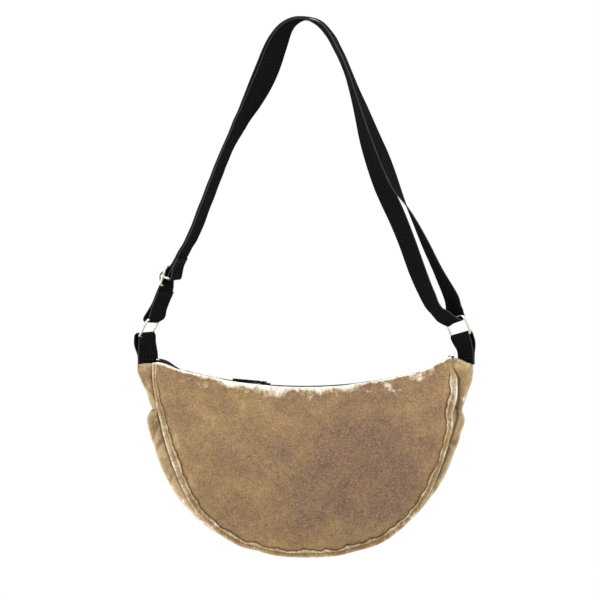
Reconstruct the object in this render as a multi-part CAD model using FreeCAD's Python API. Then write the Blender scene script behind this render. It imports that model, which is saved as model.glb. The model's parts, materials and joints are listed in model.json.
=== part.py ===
import FreeCAD
import Part
import math
import os

# Half moon bag on a doubled webbing strap. X runs to the right, Y away from the viewer and Z up.
# The origin is the underside of the strap's top, where it hangs on a peg or a shoulder.

# Webbing, and the wire of the rings and the adjuster.
WEBBING_WIDTH = 25.0
WEBBING_THICKNESS = 1.3
WIRE = 2.5
RING_SIDE_PLAY = 0.7
RING_INSIDE_HEIGHT = 18.0
RING_CORNER = 3.2
LOOP_PLAY = 1.75
RING_LEAN = 24.5
RING_TURN = 29.0

# How far apart the rings hang, and how far each tab hangs from its ring's lower bar to the bag's corner.
RING_HALF_SPAN = 158.4
TAB_DROP = 27.6458

# Sewn tail at the left ring, and the straight run above it that the adjuster slides on.
TAIL_TAPER = 14.0
TAIL_FLAP = 32.0
TAIL_END = 34.0
RUN_LENGTH = 195.8
ADJUSTER_HEIGHT = 44.5
ADJUSTER_INSIDE = 18.0
ADJUSTER_SIDE_PLAY = 1.4
SLIDE_GAP = 0.3
WRAP_GAP = 0.2
END_TAPER = 12.0
END_FLAP = 22.0
END_LENGTH = 25.0
EYELET_LENGTH = 3.4
EYELET_WALL = 0.9
LAYER_SPREAD = 0.5
LOOP_LEG = 9.0
LOOP_SPREAD = 24.0
STITCH_HEIGHT = 0.4
STITCH_LENGTH = 2.6
STITCH_WIDTH = 20.0

# Bag outline, seen from the front, and its depth from front to back.
CORNER_HALF = 155.0
CORNER_DROP = 358.5
ZIP_SAG = 24.5
SEAM_DEPTH = 195.2
FLANGE_WIDTH = 7.0
PANEL_TOP_HALF = 13.5
PANEL_BELLY_HALF = 40.0
PANEL_FOOT_HALF = 33.0
GUSSET_BULGE = 21.0
SKIN = 1.5
LINING = 0.6
LAYER_GAP = 0.3
LINING_DROP = 3.0
LINING_INSET = 1.2

# Tabs between the rings and the bag's corners.
TAB_SEAT = 9.2
TAB_SEWN = 14.0
TAB_BURIED = 5.0
TAB_TURN = 45.0
COVER = 1.5

# Zip chain, slider and pull.
TAPE_THICKNESS = 0.7
TAPE_TOP = 1.0
TAPE_END = 1.5
CHAIN_SPLIT = 0.5
COIL_WIDTH = 2.5
COIL_SHOULDER = 0.6
COIL_TOP = 1.5
STOP_LENGTH = 3.0
STOP_WIDTH = 3.6
SLIDER_X = 44.6
SLIDER_HALF_LENGTH = 6.5
SLIDER_HALF_WIDTH = 4.8
SLIDER_WALL = 1.1
SLIDER_PLATE = 1.2
SLIDER_GAP = 0.4
NECK = 0.4
BRIDGE_HALF_LENGTH = 2.7
BRIDGE_HALF_WIDTH = 1.0
BRIDGE_HEIGHT = 3.0
PULL_BAR = 0.75
PULL_BAR_HEIGHT = 1.45
PULL_PLAY = 0.3
PULL_THICKNESS = 1.4
PULL_ARM = 1.2
PULL_EYE = 4.2
PULL_LENGTH = 31.0
PULL_HALF_WIDTH = 3.2

# Inner layer from the straight run's top to the crown: across and down as shares of the place of that top,
# and the webbing's turn about its own length in degrees. The knee is where the curve takes its direction.
KNEE_SHARE = 5.0 / 6.0
INNER_LEFT_SHARES = [
    (0.790, 0.729, 43), (0.677, 0.605, 52), (0.569, 0.478, 61), (0.482, 0.353, 64),
    (0.426, 0.2585, 60), (0.358, 0.164, 50), (0.275, 0.0785, 34), (0.157, 0.0185, 16),
]
# Both layers from the crown to the right ring: across as a share of the ring half span, down as a share of
# the ring drop, and the turn in degrees.
INNER_RIGHT_SHARES = [
    (0.057, 0.006, 1), (0.109, 0.026, 2), (0.158, 0.060, 1), (0.188, 0.090, 0),
    (0.227, 0.126, 1), (0.271, 0.180, 1), (0.305, 0.235, 4), (0.335, 0.289, 8),
    (0.364, 0.3435, 14), (0.394, 0.398, 21), (0.428, 0.452, 26), (0.467, 0.507, 31),
    (0.513, 0.561, 38), (0.566, 0.616, 42), (0.615, 0.670, 40), (0.680, 0.752, 38), (0.737, 0.833, 38),
    (0.806, 0.910, 34), (0.860, 0.957, 31),
]
OUTER_RIGHT_SHARES = [
    (0.060, -0.006, -3), (0.111, 0.008, -7), (0.148, 0.028, -10), (0.193, 0.060, -12),
    (0.223, 0.090, -12), (0.259, 0.126, -12), (0.302, 0.180, -12), (0.344, 0.235, -16),
    (0.386, 0.289, -21), (0.430, 0.3435, -24), (0.474, 0.398, -27), (0.519, 0.452, -29),
    (0.563, 0.507, -26), (0.608, 0.561, -18), (0.667, 0.616, -5), (0.722, 0.670, 2),
    (0.799, 0.752, 10), (0.875, 0.833, 14), (0.953, 0.912, 22), (0.986, 0.950, 26),
]
PATH_STEPS = 3

# Seam outline: exponents of its half moon curve, and stations as angles from a top corner to the bottom.
OUTLINE_ACROSS = 0.7
OUTLINE_DOWN = 2.0 / 1.7
OUTLINE_ANGLES = [0, 3, 8, 15, 24, 34, 44, 54, 64, 73, 81, 90]
# How far the gusset stands out at each station, and how much of that is its straight lip.
GUSSET_SHARES = [
    (0, 1.06, 0.90), (4, 1.05, 0.86), (8, 1.00, 0.72), (12, 0.88, 0.48), (16, 0.75, 0.25), (22, 0.93, 0.12),
    (28, 0.91, 0.10), (36, 0.86, 0.08), (44, 0.79, 0.08), (52, 0.71, 0.08), (60, 0.62, 0.09),
    (68, 0.50, 0.10), (76, 0.38, 0.12), (83, 0.32, 0.14), (90, 0.29, 0.15),
]
LINING_FROM_ANGLE = 6
FLANGE_TIP_SHARE = 0.3
FLANGE_TIP_ANGLE = 8.0
BELLY_SHARE = 0.62
SECTOR_SHARE = 1.25
COIL_END_SHARE = 0.955
STOP_PLACE_SHARE = 0.972

Vec = FreeCAD.Vector
ACROSS = Vec(0, 1, 0)
ORIGIN = Vec(0, 0, 0)


def unit(v):
    return v * (1.0 / v.Length)


def at(frame, w, n, s):
    origin, wide, normal, along = frame
    return origin + wide * w + normal * n + along * s


def moved(frame, w, n, s):
    return (at(frame, w, n, s),) + frame[1:]


def face(edges):
    return Part.Face(Part.Wire(edges))


def polygon(points):
    return Part.Face(Part.makePolygon(points + points[:1]))


def prism(frame, outline, low, high):
    points = [at(frame, low, n, s) for n, s in outline]
    return polygon(points).extrude(frame[1] * (high - low))


def block(frame, w_range, n_range, s_range):
    (n0, n1), (s0, s1) = n_range, s_range
    return prism(frame, [(n0, s0), (n1, s0), (n1, s1), (n0, s1)], w_range[0], w_range[1])


def rod(start, end, radius):
    return Part.makeCylinder(radius, (end - start).Length, start, end - start)


def bend(frame, inner, outer, start, stop, half_width):
    # Part of a tube round the frame's origin, its axis along the webbing's width.
    def spot(radius, angle):
        turn = math.radians(angle)
        return at(frame, -half_width, radius * math.cos(turn), radius * math.sin(turn))

    middle = (start + stop) / 2.0
    edges = [
        Part.Arc(spot(outer, start), spot(outer, middle), spot(outer, stop)).toShape(),
        Part.makeLine(spot(outer, stop), spot(inner, stop)),
        Part.Arc(spot(inner, stop), spot(inner, middle), spot(inner, start)).toShape(),
        Part.makeLine(spot(inner, start), spot(outer, start)),
    ]
    return face(edges).extrude(frame[1] * (2 * half_width))


def joined(shapes):
    return shapes[0].multiFuse(shapes[1:]).removeSplitter()


def rectangle(centre, wide, normal, half_width, low, high):
    corners = [(-half_width, low), (half_width, low), (half_width, high), (-half_width, high)]
    points = [centre + wide * w + normal * n for w, n in corners]
    return Part.makePolygon(points + points[:1])


def mirrored_x(shape):
    return shape.mirror(ORIGIN, Vec(1, 0, 0))


def mirrored_y(shape):
    return shape.mirror(ORIGIN, ACROSS)


# Frames of the webbing: width, the normal that faces into the strap's loop, and the length.
def webbing_axes(along, turn):
    inward = Vec(along.z, 0, -along.x)
    angle = math.radians(turn)
    wide = ACROSS * math.cos(angle) + inward * math.sin(angle)
    normal = inward * math.cos(angle) - ACROSS * math.sin(angle)
    return wide, normal


HALF_WEB = WEBBING_WIDTH / 2.0
THICK = WEBBING_THICKNESS
WIRE_R = WIRE / 2.0
RING_REACH = RING_INSIDE_HEIGHT + WIRE
LEAN = math.radians(RING_LEAN)
RING_DROP = CORNER_DROP - TAB_DROP - RING_REACH * math.cos(LEAN)
UP_LEFT = Vec(math.sin(LEAN), 0, math.cos(LEAN))
LEFT_WIDE, LEFT_NORMAL = webbing_axes(UP_LEFT, RING_TURN)
LEFT = (Vec(-RING_HALF_SPAN, 0, -RING_DROP), LEFT_WIDE, LEFT_NORMAL, UP_LEFT)
DOWN_RIGHT = Vec(math.sin(LEAN), 0, -math.cos(LEAN))
RIGHT_WIDE, RIGHT_NORMAL = webbing_axes(DOWN_RIGHT, RING_TURN)
RIGHT = (Vec(RING_HALF_SPAN, 0, -RING_DROP), RIGHT_WIDE, RIGHT_NORMAL, DOWN_RIGHT * -1)
LEG_PLACE = HALF_WEB + RING_SIDE_PLAY + WIRE_R
LOOP_IN = WIRE_R + LOOP_PLAY
LOOP_OUT = LOOP_IN + THICK


# Wire rings: a round bar bent to a rectangle, the upper bar in the strap's loop, the lower bar in the tab's.
def wire_frame(frame, half_width, half_height, corner):
    straight_w = half_width - corner
    straight_s = half_height - corner
    solids = []
    for side in (-1, 1):
        bar_ends = [at(frame, w, 0, side * half_height) for w in (-straight_w, straight_w)]
        leg_ends = [at(frame, side * half_width, 0, s) for s in (-straight_s, straight_s)]
        solids += [rod(bar_ends[0], bar_ends[1], WIRE_R), rod(leg_ends[0], leg_ends[1], WIRE_R)]
        for end in (-1, 1):
            start = at(frame, side * half_width, 0, end * straight_s)
            pivot = at(frame, side * straight_w, 0, end * straight_s)
            disc = Part.Face(Part.Wire(Part.makeCircle(WIRE_R, start, frame[3])))
            axis = (start - pivot).cross(frame[3] * end)
            solids.append(disc.revolve(pivot, axis, 90))
    return joined(solids)


left_ring = wire_frame(moved(LEFT, 0, 0, -RING_REACH / 2.0), LEG_PLACE, RING_REACH / 2.0, RING_CORNER)
right_ring = mirrored_x(left_ring)

# Sewn tail: round the left ring's upper bar, then both layers together, with a short flap on the inside.
tail = [
    bend(LEFT, LOOP_IN, LOOP_OUT, 180, 360, HALF_WEB),
    prism(LEFT, [(-LOOP_OUT, 0), (-LOOP_IN, 0), (0, TAIL_TAPER), (-THICK, TAIL_TAPER)], -HALF_WEB, HALF_WEB),
    prism(LEFT, [(LOOP_IN, 0), (LOOP_OUT, 0), (THICK, TAIL_TAPER), (0, TAIL_TAPER)], -HALF_WEB, HALF_WEB),
    block(LEFT, (-HALF_WEB, HALF_WEB), (-THICK, 0), (TAIL_TAPER, TAIL_END)),
    block(LEFT, (-HALF_WEB, HALF_WEB), (0, THICK), (TAIL_TAPER, TAIL_FLAP)),
]
strap_tail = joined(tail)
HALF_STITCH = STITCH_WIDTH / 2.0
strap_tail_stitching = block(
    LEFT, (-HALF_STITCH, HALF_STITCH), (THICK, THICK + STITCH_HEIGHT),
    (TAIL_FLAP - 2 * STITCH_LENGTH, TAIL_FLAP - STITCH_LENGTH))

# Adjuster: a wire frame outside the running layer, a centre bar inside it with an eyelet round each of the
# frame's legs, and the strap's other end sewn round that bar.
RUNNING_N = -THICK / 2.0
RETURN_N = SLIDE_GAP + THICK / 2.0
BAR_N = SLIDE_GAP + THICK + WRAP_GAP + WIRE_R
FRAME_N = -THICK - SLIDE_GAP - WIRE_R
ADJUSTER = moved(LEFT, 0, 0, ADJUSTER_HEIGHT)
FRAME_PLANE = moved(ADJUSTER, 0, FRAME_N, 0)
BAR_LINE = moved(ADJUSTER, 0, BAR_N, 0)
ADJUSTER_LEG = HALF_WEB + ADJUSTER_SIDE_PLAY + WIRE_R
adjuster_frame = wire_frame(FRAME_PLANE, ADJUSTER_LEG, (ADJUSTER_INSIDE + WIRE) / 2.0, RING_CORNER)
bar_solids = [rod(at(BAR_LINE, -ADJUSTER_LEG, 0, 0), at(BAR_LINE, ADJUSTER_LEG, 0, 0), WIRE_R)]
EYELET_IN = WIRE_R + WRAP_GAP
EYELET_OUT = EYELET_IN + EYELET_WALL
for side in (-1, 1):
    low = at(FRAME_PLANE, side * ADJUSTER_LEG, 0, -EYELET_LENGTH / 2.0)
    high = at(FRAME_PLANE, side * ADJUSTER_LEG, 0, EYELET_LENGTH / 2.0)
    foot = at(BAR_LINE, side * ADJUSTER_LEG, 0, 0)
    riser = rod(foot, at(FRAME_PLANE, side * ADJUSTER_LEG, EYELET_IN, 0), WIRE_R)
    knuckle = Part.makeSphere(WIRE_R, foot)
    bar_solids += [riser, knuckle, rod(low, high, EYELET_OUT)]
adjuster_bar = joined(bar_solids)
for side in (-1, 1):
    low = at(FRAME_PLANE, side * ADJUSTER_LEG, 0, -EYELET_LENGTH)
    high = at(FRAME_PLANE, side * ADJUSTER_LEG, 0, EYELET_LENGTH)
    adjuster_bar = adjuster_bar.cut(rod(low, high, EYELET_IN))

WRAP_IN = WIRE_R + WRAP_GAP
WRAP_OUT = WRAP_IN + THICK
FLAP_TOP = THICK - WRAP_IN
flap_taper = [(WRAP_IN, 0), (WRAP_OUT, 0), (FLAP_TOP, END_TAPER), (-WRAP_IN, END_TAPER)]
end_loop = [
    bend(BAR_LINE, WRAP_IN, WRAP_OUT, 180, 360, HALF_WEB),
    block(BAR_LINE, (-HALF_WEB, HALF_WEB), (-WRAP_OUT, -WRAP_IN), (0, END_LENGTH)),
    prism(BAR_LINE, flap_taper, -HALF_WEB, HALF_WEB),
    block(BAR_LINE, (-HALF_WEB, HALF_WEB), (-WRAP_IN, FLAP_TOP), (END_TAPER, END_FLAP)),
]
strap_end_loop = joined(end_loop)
strap_end_stitching = block(
    BAR_LINE, (-HALF_STITCH, HALF_STITCH), (FLAP_TOP, FLAP_TOP + STITCH_HEIGHT),
    (END_FLAP - 2 * STITCH_LENGTH, END_FLAP - STITCH_LENGTH))
strap_sewn_stretch = block(
    LEFT, (-HALF_WEB, HALF_WEB), (RETURN_N - THICK / 2.0, RETURN_N + THICK / 2.0),
    (ADJUSTER_HEIGHT + END_LENGTH, RUN_LENGTH))

# Turn of the webbing round the right ring: the outer layer hangs straight and the inner one swings away.
half_turn = math.radians(LOOP_SPREAD)
ring_loop = [
    bend(RIGHT, LOOP_IN, LOOP_OUT, 180, 360 - LOOP_SPREAD, HALF_WEB),
    block(RIGHT, (-HALF_WEB, HALF_WEB), (-LOOP_OUT, -LOOP_IN), (0, LOOP_LEG)),
]
leg_out = Vec(math.cos(half_turn), -math.sin(half_turn), 0)
leg_up = Vec(math.sin(half_turn), math.cos(half_turn), 0)
leg_corners = [
    leg_out * LOOP_IN, leg_out * LOOP_OUT, leg_out * LOOP_OUT + leg_up * LOOP_LEG,
    leg_out * LOOP_IN + leg_up * LOOP_LEG]
ring_loop.append(prism(RIGHT, [(p.x, p.y) for p in leg_corners], -HALF_WEB, HALF_WEB))
strap_ring_loop = joined(ring_loop)


# Curved stretches of the webbing: a thin rectangle carried along a smooth path.
def smooth(rows, steps):
    ends = [[2 * a - b for a, b in zip(rows[0], rows[1])], [2 * a - b for a, b in zip(rows[-1], rows[-2])]]
    padded = [ends[0]] + [list(r) for r in rows] + [ends[1]]
    result = []
    for i in range(1, len(padded) - 2):
        for k in range(steps):
            t = k / float(steps)
            row = []
            for a, b, c, d in zip(padded[i - 1], padded[i], padded[i + 1], padded[i + 2]):
                bent = (2 * a - 5 * b + 4 * c - d) * t * t + (3 * b - a - 3 * c + d) * t * t * t
                row.append(b + 0.5 * ((c - a) * t + bent))
            result.append(row)
    result.append(list(rows[-1]))
    return result


def path_rows(shares):
    return [(across * RING_HALF_SPAN, -down * RING_DROP, turn) for across, down, turn in shares]


def stations(rows):
    result = []
    for i, (x, z, turn) in enumerate(rows):
        before, after = rows[max(i - 1, 0)], rows[min(i + 1, len(rows) - 1)]
        along = unit(Vec(after[0] - before[0], 0, after[1] - before[1]))
        wide, normal = webbing_axes(along, turn)
        result.append((Vec(x, 0, z), wide, normal))
    return result


def webbing(places):
    half = THICK / 2.0
    wires = [rectangle(c, wide, normal, HALF_WEB, -half, half) for c, wide, normal in places]
    return Part.makeLoft(wires, True, True)


# The return layer comes up inside from the right ring, over the crown and down to the sewn stretch.
run_top = at(LEFT, 0, RETURN_N, RUN_LENGTH)
run_knee = at(LEFT, 0, RETURN_N, RUN_LENGTH * KNEE_SHARE)
crown_row = (0.0, THICK / 2.0, 0.0)
inner_rows = [(run_knee.x, run_knee.z, RING_TURN), (run_top.x, run_top.z, RING_TURN)]
inner_rows += [(across * run_top.x, down * run_top.z, turn) for across, down, turn in INNER_LEFT_SHARES]
inner_rows += [crown_row] + path_rows(INNER_RIGHT_SHARES)
inner_smooth = smooth(inner_rows, PATH_STEPS)[PATH_STEPS + 1:]
inner_end = leg_out * (LOOP_IN + THICK / 2.0) + leg_up * LOOP_LEG
inner_axis = unit(RIGHT_NORMAL * leg_out.x + RIGHT[3] * leg_out.y)
inner_places = [(run_top, LEFT_WIDE, LEFT_NORMAL)] + stations(inner_smooth)
inner_places.append((at(RIGHT, 0, inner_end.x, inner_end.y), RIGHT_WIDE, inner_axis))
strap_return_layer = webbing(inner_places)

# The running layer goes up from the tail, straight through the adjuster and then outside the return layer.
left_places = [p for p in stations(inner_smooth) if p[0].x < 0]
run_gap = RETURN_N - RUNNING_N
crown_gap = THICK + LAYER_SPREAD
outer_places = [(at(LEFT, 0, RUNNING_N, s), LEFT_WIDE, LEFT_NORMAL) for s in (TAIL_END, RUN_LENGTH)]
for i, (centre, wide, normal) in enumerate(left_places):
    share = min(1.0, (i + 1.0) / (len(left_places) / 2.0))
    gap = run_gap + (crown_gap - run_gap) * share
    outer_places.append((centre - normal * gap, wide, normal))
outer_rows = [(0.0, THICK / 2.0 + crown_gap, 0.0)] + path_rows(OUTER_RIGHT_SHARES)
outer_places += stations(smooth(outer_rows, PATH_STEPS))
outer_places.append((at(RIGHT, 0, -LOOP_IN - THICK / 2.0, LOOP_LEG), RIGHT_WIDE, RIGHT_NORMAL))
strap_running_layer = webbing(outer_places)

# Bag: the zip lies on an arc, and the panels are turned about that arc's axis so the slider runs true.
ZIP_RADIUS = (CORNER_HALF ** 2 + ZIP_SAG ** 2) / (2.0 * ZIP_SAG)
AXIS_Z = -CORNER_DROP + math.sqrt(ZIP_RADIUS ** 2 - CORNER_HALF ** 2)
AXIS = Vec(0, 0, AXIS_Z)
CORNER_ANGLE = math.degrees(math.asin(CORNER_HALF / ZIP_RADIUS))
PROFILE_RUN = AXIS_Z + CORNER_DROP + SEAM_DEPTH - ZIP_RADIUS


def circle_through(a, b, c):
    ax, ay, bx, by, cx, cy = a + b + c
    d = 2 * (ax * (by - cy) + bx * (cy - ay) + cx * (ay - by))
    sa, sb, sc = ax * ax + ay * ay, bx * bx + by * by, cx * cx + cy * cy
    x = (sa * (by - cy) + sb * (cy - ay) + sc * (ay - by)) / d
    y = (sa * (cx - bx) + sb * (ax - cx) + sc * (bx - ax)) / d
    return x, y, math.hypot(ax - x, ay - y)


PROFILE_X, PROFILE_Y, PROFILE_R = circle_through(
    (0.0, PANEL_TOP_HALF), (BELLY_SHARE * PROFILE_RUN, PANEL_BELLY_HALF), (PROFILE_RUN, PANEL_FOOT_HALF))


def half_depth(radius, inside):
    # Distance from the middle plane to the panel, measured this far inside its outer face.
    run = radius - ZIP_RADIUS - PROFILE_X
    return PROFILE_Y + math.sqrt((PROFILE_R - inside) ** 2 - run ** 2)


def seam_point(angle):
    turn = math.radians(min(angle, 180 - angle))
    side = -1 if angle < 90 else 1
    x = CORNER_HALF * abs(math.cos(turn)) ** OUTLINE_ACROSS
    z = -CORNER_DROP - SEAM_DEPTH * math.sin(turn) ** OUTLINE_DOWN
    return Vec(0 if angle == 90 else side * x, 0, z)


def seam_normal(angle):
    if angle in (0, 180):
        return Vec(-1 if angle == 0 else 1, 0, 0)
    if angle == 90:
        return Vec(0, 0, -1)
    tangent = seam_point(angle + 0.1) - seam_point(angle - 0.1)
    return unit(Vec(tangent.z, 0, -tangent.x))


def both_sides(angles):
    return angles + [180 - a for a in reversed(angles[:-1])]


def flange_width(angle):
    share = min(1.0, min(angle, 180 - angle) / FLANGE_TIP_ANGLE)
    return FLANGE_WIDTH * (FLANGE_TIP_SHARE + (1 - FLANGE_TIP_SHARE) * share)


def outline_prism(offset):
    # Half moon block in front of the middle plane, its rim this far outside the seam.
    points = [seam_point(a) + seam_normal(a) * offset(a) for a in both_sides(OUTLINE_ANGLES)]
    curve = Part.BSplineCurve()
    curve.interpolate(points)
    lift = Vec(0, 0, ZIP_SAG)
    left, right = points[0], points[-1]
    edges = [
        curve.toShape(), Part.makeLine(right, right + lift), Part.makeLine(right + lift, left + lift),
        Part.makeLine(left + lift, left)]
    return face(edges).extrude(ACROSS * (-2 * PANEL_BELLY_HALF))


def turned_about_axis(section, half_angle):
    start = section.copy()
    start.rotate(AXIS, ACROSS, half_angle)
    return start.revolve(AXIS, ACROSS, -2 * half_angle)


def on_profile(radius, depth):
    return Vec(0, -depth, AXIS_Z - radius)


def panel_shell(near, far, top):
    # Dished shell between two depths under the panel's outer face, from this radius down.
    bottom = ZIP_RADIUS + PROFILE_RUN + 2 * FLANGE_WIDTH
    middle = (top + bottom) / 2.0
    edges = []
    for inside in (near, far):
        arc = [on_profile(r, half_depth(r, inside)) for r in (top, middle, bottom)]
        edges.append(Part.Arc(*arc).toShape())
    for radius in (top, bottom):
        ends = [on_profile(radius, half_depth(radius, inside)) for inside in (near, far)]
        edges.append(Part.makeLine(*ends))
    section = Part.Face(Part.Wire(Part.sortEdges(edges)[0]))
    return turned_about_axis(section, CORNER_ANGLE * SECTOR_SHARE)


front_panel = panel_shell(0, SKIN, ZIP_RADIUS).common(outline_prism(flange_width))
back_panel = mirrored_y(front_panel)
LINING_DEPTH = SKIN + LAYER_GAP
front_lining = panel_shell(LINING_DEPTH, LINING_DEPTH + LINING, ZIP_RADIUS + LINING_DROP).common(
    outline_prism(lambda angle: -LINING_INSET))
back_lining = mirrored_y(front_lining)


# Gusset: a band from seam to seam, with a lip beside each seam and a rounded middle.
def gusset_half(angle):
    point, normal = seam_point(angle), seam_normal(angle)
    depths = []
    for reach in (0, FLANGE_WIDTH):
        spot = point + normal * reach - AXIS
        depths.append(half_depth(max(spot.Length, ZIP_RADIUS), SKIN))
    return min(depths) - LAYER_GAP


def gusset_section(angle, bulge_share, lip_share, inside, thickness):
    half = gusset_half(angle) - inside
    lip = GUSSET_BULGE * bulge_share * lip_share
    crest = GUSSET_BULGE * bulge_share - inside
    point, normal = seam_point(angle), seam_normal(angle)

    def spot(out, across):
        return point + normal * out + ACROSS * across

    inner_half, inner_crest = half - thickness, crest - thickness
    edges = [
        Part.makeLine(spot(0, -half), spot(lip, -half)),
        Part.Arc(spot(lip, -half), spot(crest, 0), spot(lip, half)).toShape(),
        Part.makeLine(spot(lip, half), spot(0, half)),
        Part.makeLine(spot(0, half), spot(0, inner_half)),
        Part.makeLine(spot(0, inner_half), spot(lip, inner_half)),
        Part.Arc(spot(lip, inner_half), spot(inner_crest, 0), spot(lip, -inner_half)).toShape(),
        Part.makeLine(spot(lip, -inner_half), spot(0, -inner_half)),
        Part.makeLine(spot(0, -inner_half), spot(0, -half)),
    ]
    return Part.Wire(edges)


def gusset_strip(rows, inside, thickness):
    whole = rows + [(180 - a, b, c) for a, b, c in reversed(rows[:-1])]
    wires = [gusset_section(a, b, c, inside, thickness) for a, b, c in whole]
    return Part.makeLoft(wires, True, True)


gusset_band = gusset_strip(GUSSET_SHARES, 0, SKIN)
lining_rows = [row for row in GUSSET_SHARES if row[0] > LINING_FROM_ANGLE]
gusset_lining = gusset_strip(lining_rows, LINING_DEPTH, LINING)


# Zip chain: tapes under the panels' top edges, half a coil on each, and stops at the ends.
def rail(section, half_angle):
    return turned_about_axis(section, half_angle)


def on_chain(across, up):
    return Vec(0, across, AXIS_Z - ZIP_RADIUS + up)


tape_low = -TAPE_TOP - TAPE_THICKNESS
tape_edge = half_depth(ZIP_RADIUS + TAPE_TOP, SKIN) - LAYER_GAP
tape_angle = math.degrees(math.asin((CORNER_HALF - TAPE_END) / ZIP_RADIUS))
tape_corners = [
    (-tape_edge, tape_low), (-CHAIN_SPLIT, tape_low), (-CHAIN_SPLIT, -TAPE_TOP), (-tape_edge, -TAPE_TOP)]
front_zip_tape = rail(polygon([on_chain(y, up) for y, up in tape_corners]), tape_angle)
back_zip_tape = mirrored_y(front_zip_tape)
coil_near, coil_far = -CHAIN_SPLIT, -CHAIN_SPLIT - COIL_WIDTH
coil_middle = (coil_near + coil_far) / 2.0
coil_low, coil_side = on_chain(coil_near, -TAPE_TOP), on_chain(coil_near, COIL_SHOULDER)
far_low, far_side = on_chain(coil_far, -TAPE_TOP), on_chain(coil_far, COIL_SHOULDER)
coil_crest = Part.Arc(coil_side, on_chain(coil_middle, COIL_TOP), far_side).toShape()
coil_section = face([
    Part.makeLine(coil_low, coil_side), coil_crest, Part.makeLine(far_side, far_low),
    Part.makeLine(far_low, coil_low)])
front_zip_coil = rail(coil_section, CORNER_ANGLE * COIL_END_SHARE)
back_zip_coil = mirrored_y(front_zip_coil)


def chain_frame(angle, width_axis):
    turn = math.radians(angle)
    along = Vec(math.cos(turn), 0, math.sin(turn))
    up = Vec(-math.sin(turn), 0, math.cos(turn))
    origin = AXIS - up * ZIP_RADIUS
    if width_axis == "across":
        return origin, ACROSS, along, up
    return origin, up, along, ACROSS


stop_angle = CORNER_ANGLE * STOP_PLACE_SHARE
stop_reach = (-STOP_LENGTH / 2.0, STOP_LENGTH / 2.0)
stop_rise = (WRAP_GAP - TAPE_TOP, COIL_TOP)
left_end, right_end = chain_frame(-stop_angle, "across"), chain_frame(stop_angle, "across")
zip_top_stops = Part.makeCompound([
    block(left_end, (-STOP_WIDTH, -CHAIN_SPLIT), stop_reach, stop_rise),
    block(left_end, (CHAIN_SPLIT, STOP_WIDTH), stop_reach, stop_rise)])
zip_bottom_stop = block(right_end, (-STOP_WIDTH, STOP_WIDTH), stop_reach, stop_rise)

# Slider: a plate above the chain and one below the tapes, joined by a thin neck in the chain's split.
SLIDER_ANGLE = -math.degrees(math.asin(SLIDER_X / ZIP_RADIUS))
SIDE = chain_frame(SLIDER_ANGLE, "across")
PLAN = chain_frame(SLIDER_ANGLE, "up")
plate_low = COIL_TOP + SLIDER_GAP
plate_top = plate_low + SLIDER_PLATE
keel_top = tape_low - SLIDER_GAP
keel_low = keel_top - SLIDER_PLATE
plan_shares = [(-1.0, -0.75), (0.2, -1.0), (1.0, -0.85), (1.0, 0.85), (0.2, 1.0), (-1.0, 0.75)]
slider_plan = [(a * SLIDER_HALF_LENGTH, b * SLIDER_HALF_WIDTH) for a, b in plan_shares]
wall_inside = -coil_far + SLIDER_GAP
wall_outside = wall_inside + SLIDER_WALL
wall_run = (-SLIDER_HALF_LENGTH / 2.0, SLIDER_HALF_LENGTH / 2.0)
neck_run = (SLIDER_HALF_LENGTH / 2.0, SLIDER_HALF_LENGTH)
bar_height = plate_top + PULL_BAR_HEIGHT
slider_solids = [
    prism(PLAN, slider_plan, plate_low, plate_top),
    prism(PLAN, slider_plan, keel_low, keel_top),
    block(SIDE, (-NECK / 2.0, NECK / 2.0), neck_run, (keel_low, plate_top)),
    block(SIDE, (wall_inside, wall_outside), wall_run, (SLIDER_GAP - TAPE_TOP, plate_top)),
    block(SIDE, (-wall_outside, -wall_inside), wall_run, (SLIDER_GAP - TAPE_TOP, plate_top)),
    block(
        SIDE, (-BRIDGE_HALF_WIDTH, BRIDGE_HALF_WIDTH), (-BRIDGE_HALF_LENGTH, BRIDGE_HALF_LENGTH),
        (plate_low, plate_top + BRIDGE_HEIGHT)),
]
bar_left, bar_right = [at(SIDE, w, 0, bar_height) for w in (-SLIDER_HALF_WIDTH, SLIDER_HALF_WIDTH)]
bridge_hole = rod(bar_left, bar_right, PULL_BAR + PULL_PLAY)
zip_slider_body = joined(slider_solids).cut(bridge_hole)

# Pull: a pin through the bridge, two arms beside it and a long flat blade that lies along the chain.
arm_inside = BRIDGE_HALF_WIDTH + SLIDER_GAP
arm_outside = arm_inside + PULL_ARM
blade_low, blade_high = bar_height - PULL_THICKNESS / 2.0, bar_height + PULL_THICKNESS / 2.0
blade_tip = PULL_HALF_WIDTH - PULL_LENGTH
pull_solids = [
    rod(at(SIDE, -arm_outside, 0, bar_height), at(SIDE, arm_outside, 0, bar_height), PULL_BAR),
    block(SIDE, (arm_inside, arm_outside), (-PULL_EYE, 0), (blade_low, blade_high)),
    block(SIDE, (-arm_outside, -arm_inside), (-PULL_EYE, 0), (blade_low, blade_high)),
    prism(
        PLAN, [(-PULL_EYE, -arm_outside), (-PULL_EYE, arm_outside), (blade_tip, PULL_HALF_WIDTH),
               (blade_tip, -PULL_HALF_WIDTH)], blade_low, blade_high),
    rod(at(PLAN, blade_low, blade_tip, 0), at(PLAN, blade_high, blade_tip, 0), PULL_HALF_WIDTH),
]
zip_pull = joined(pull_solids)

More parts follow.
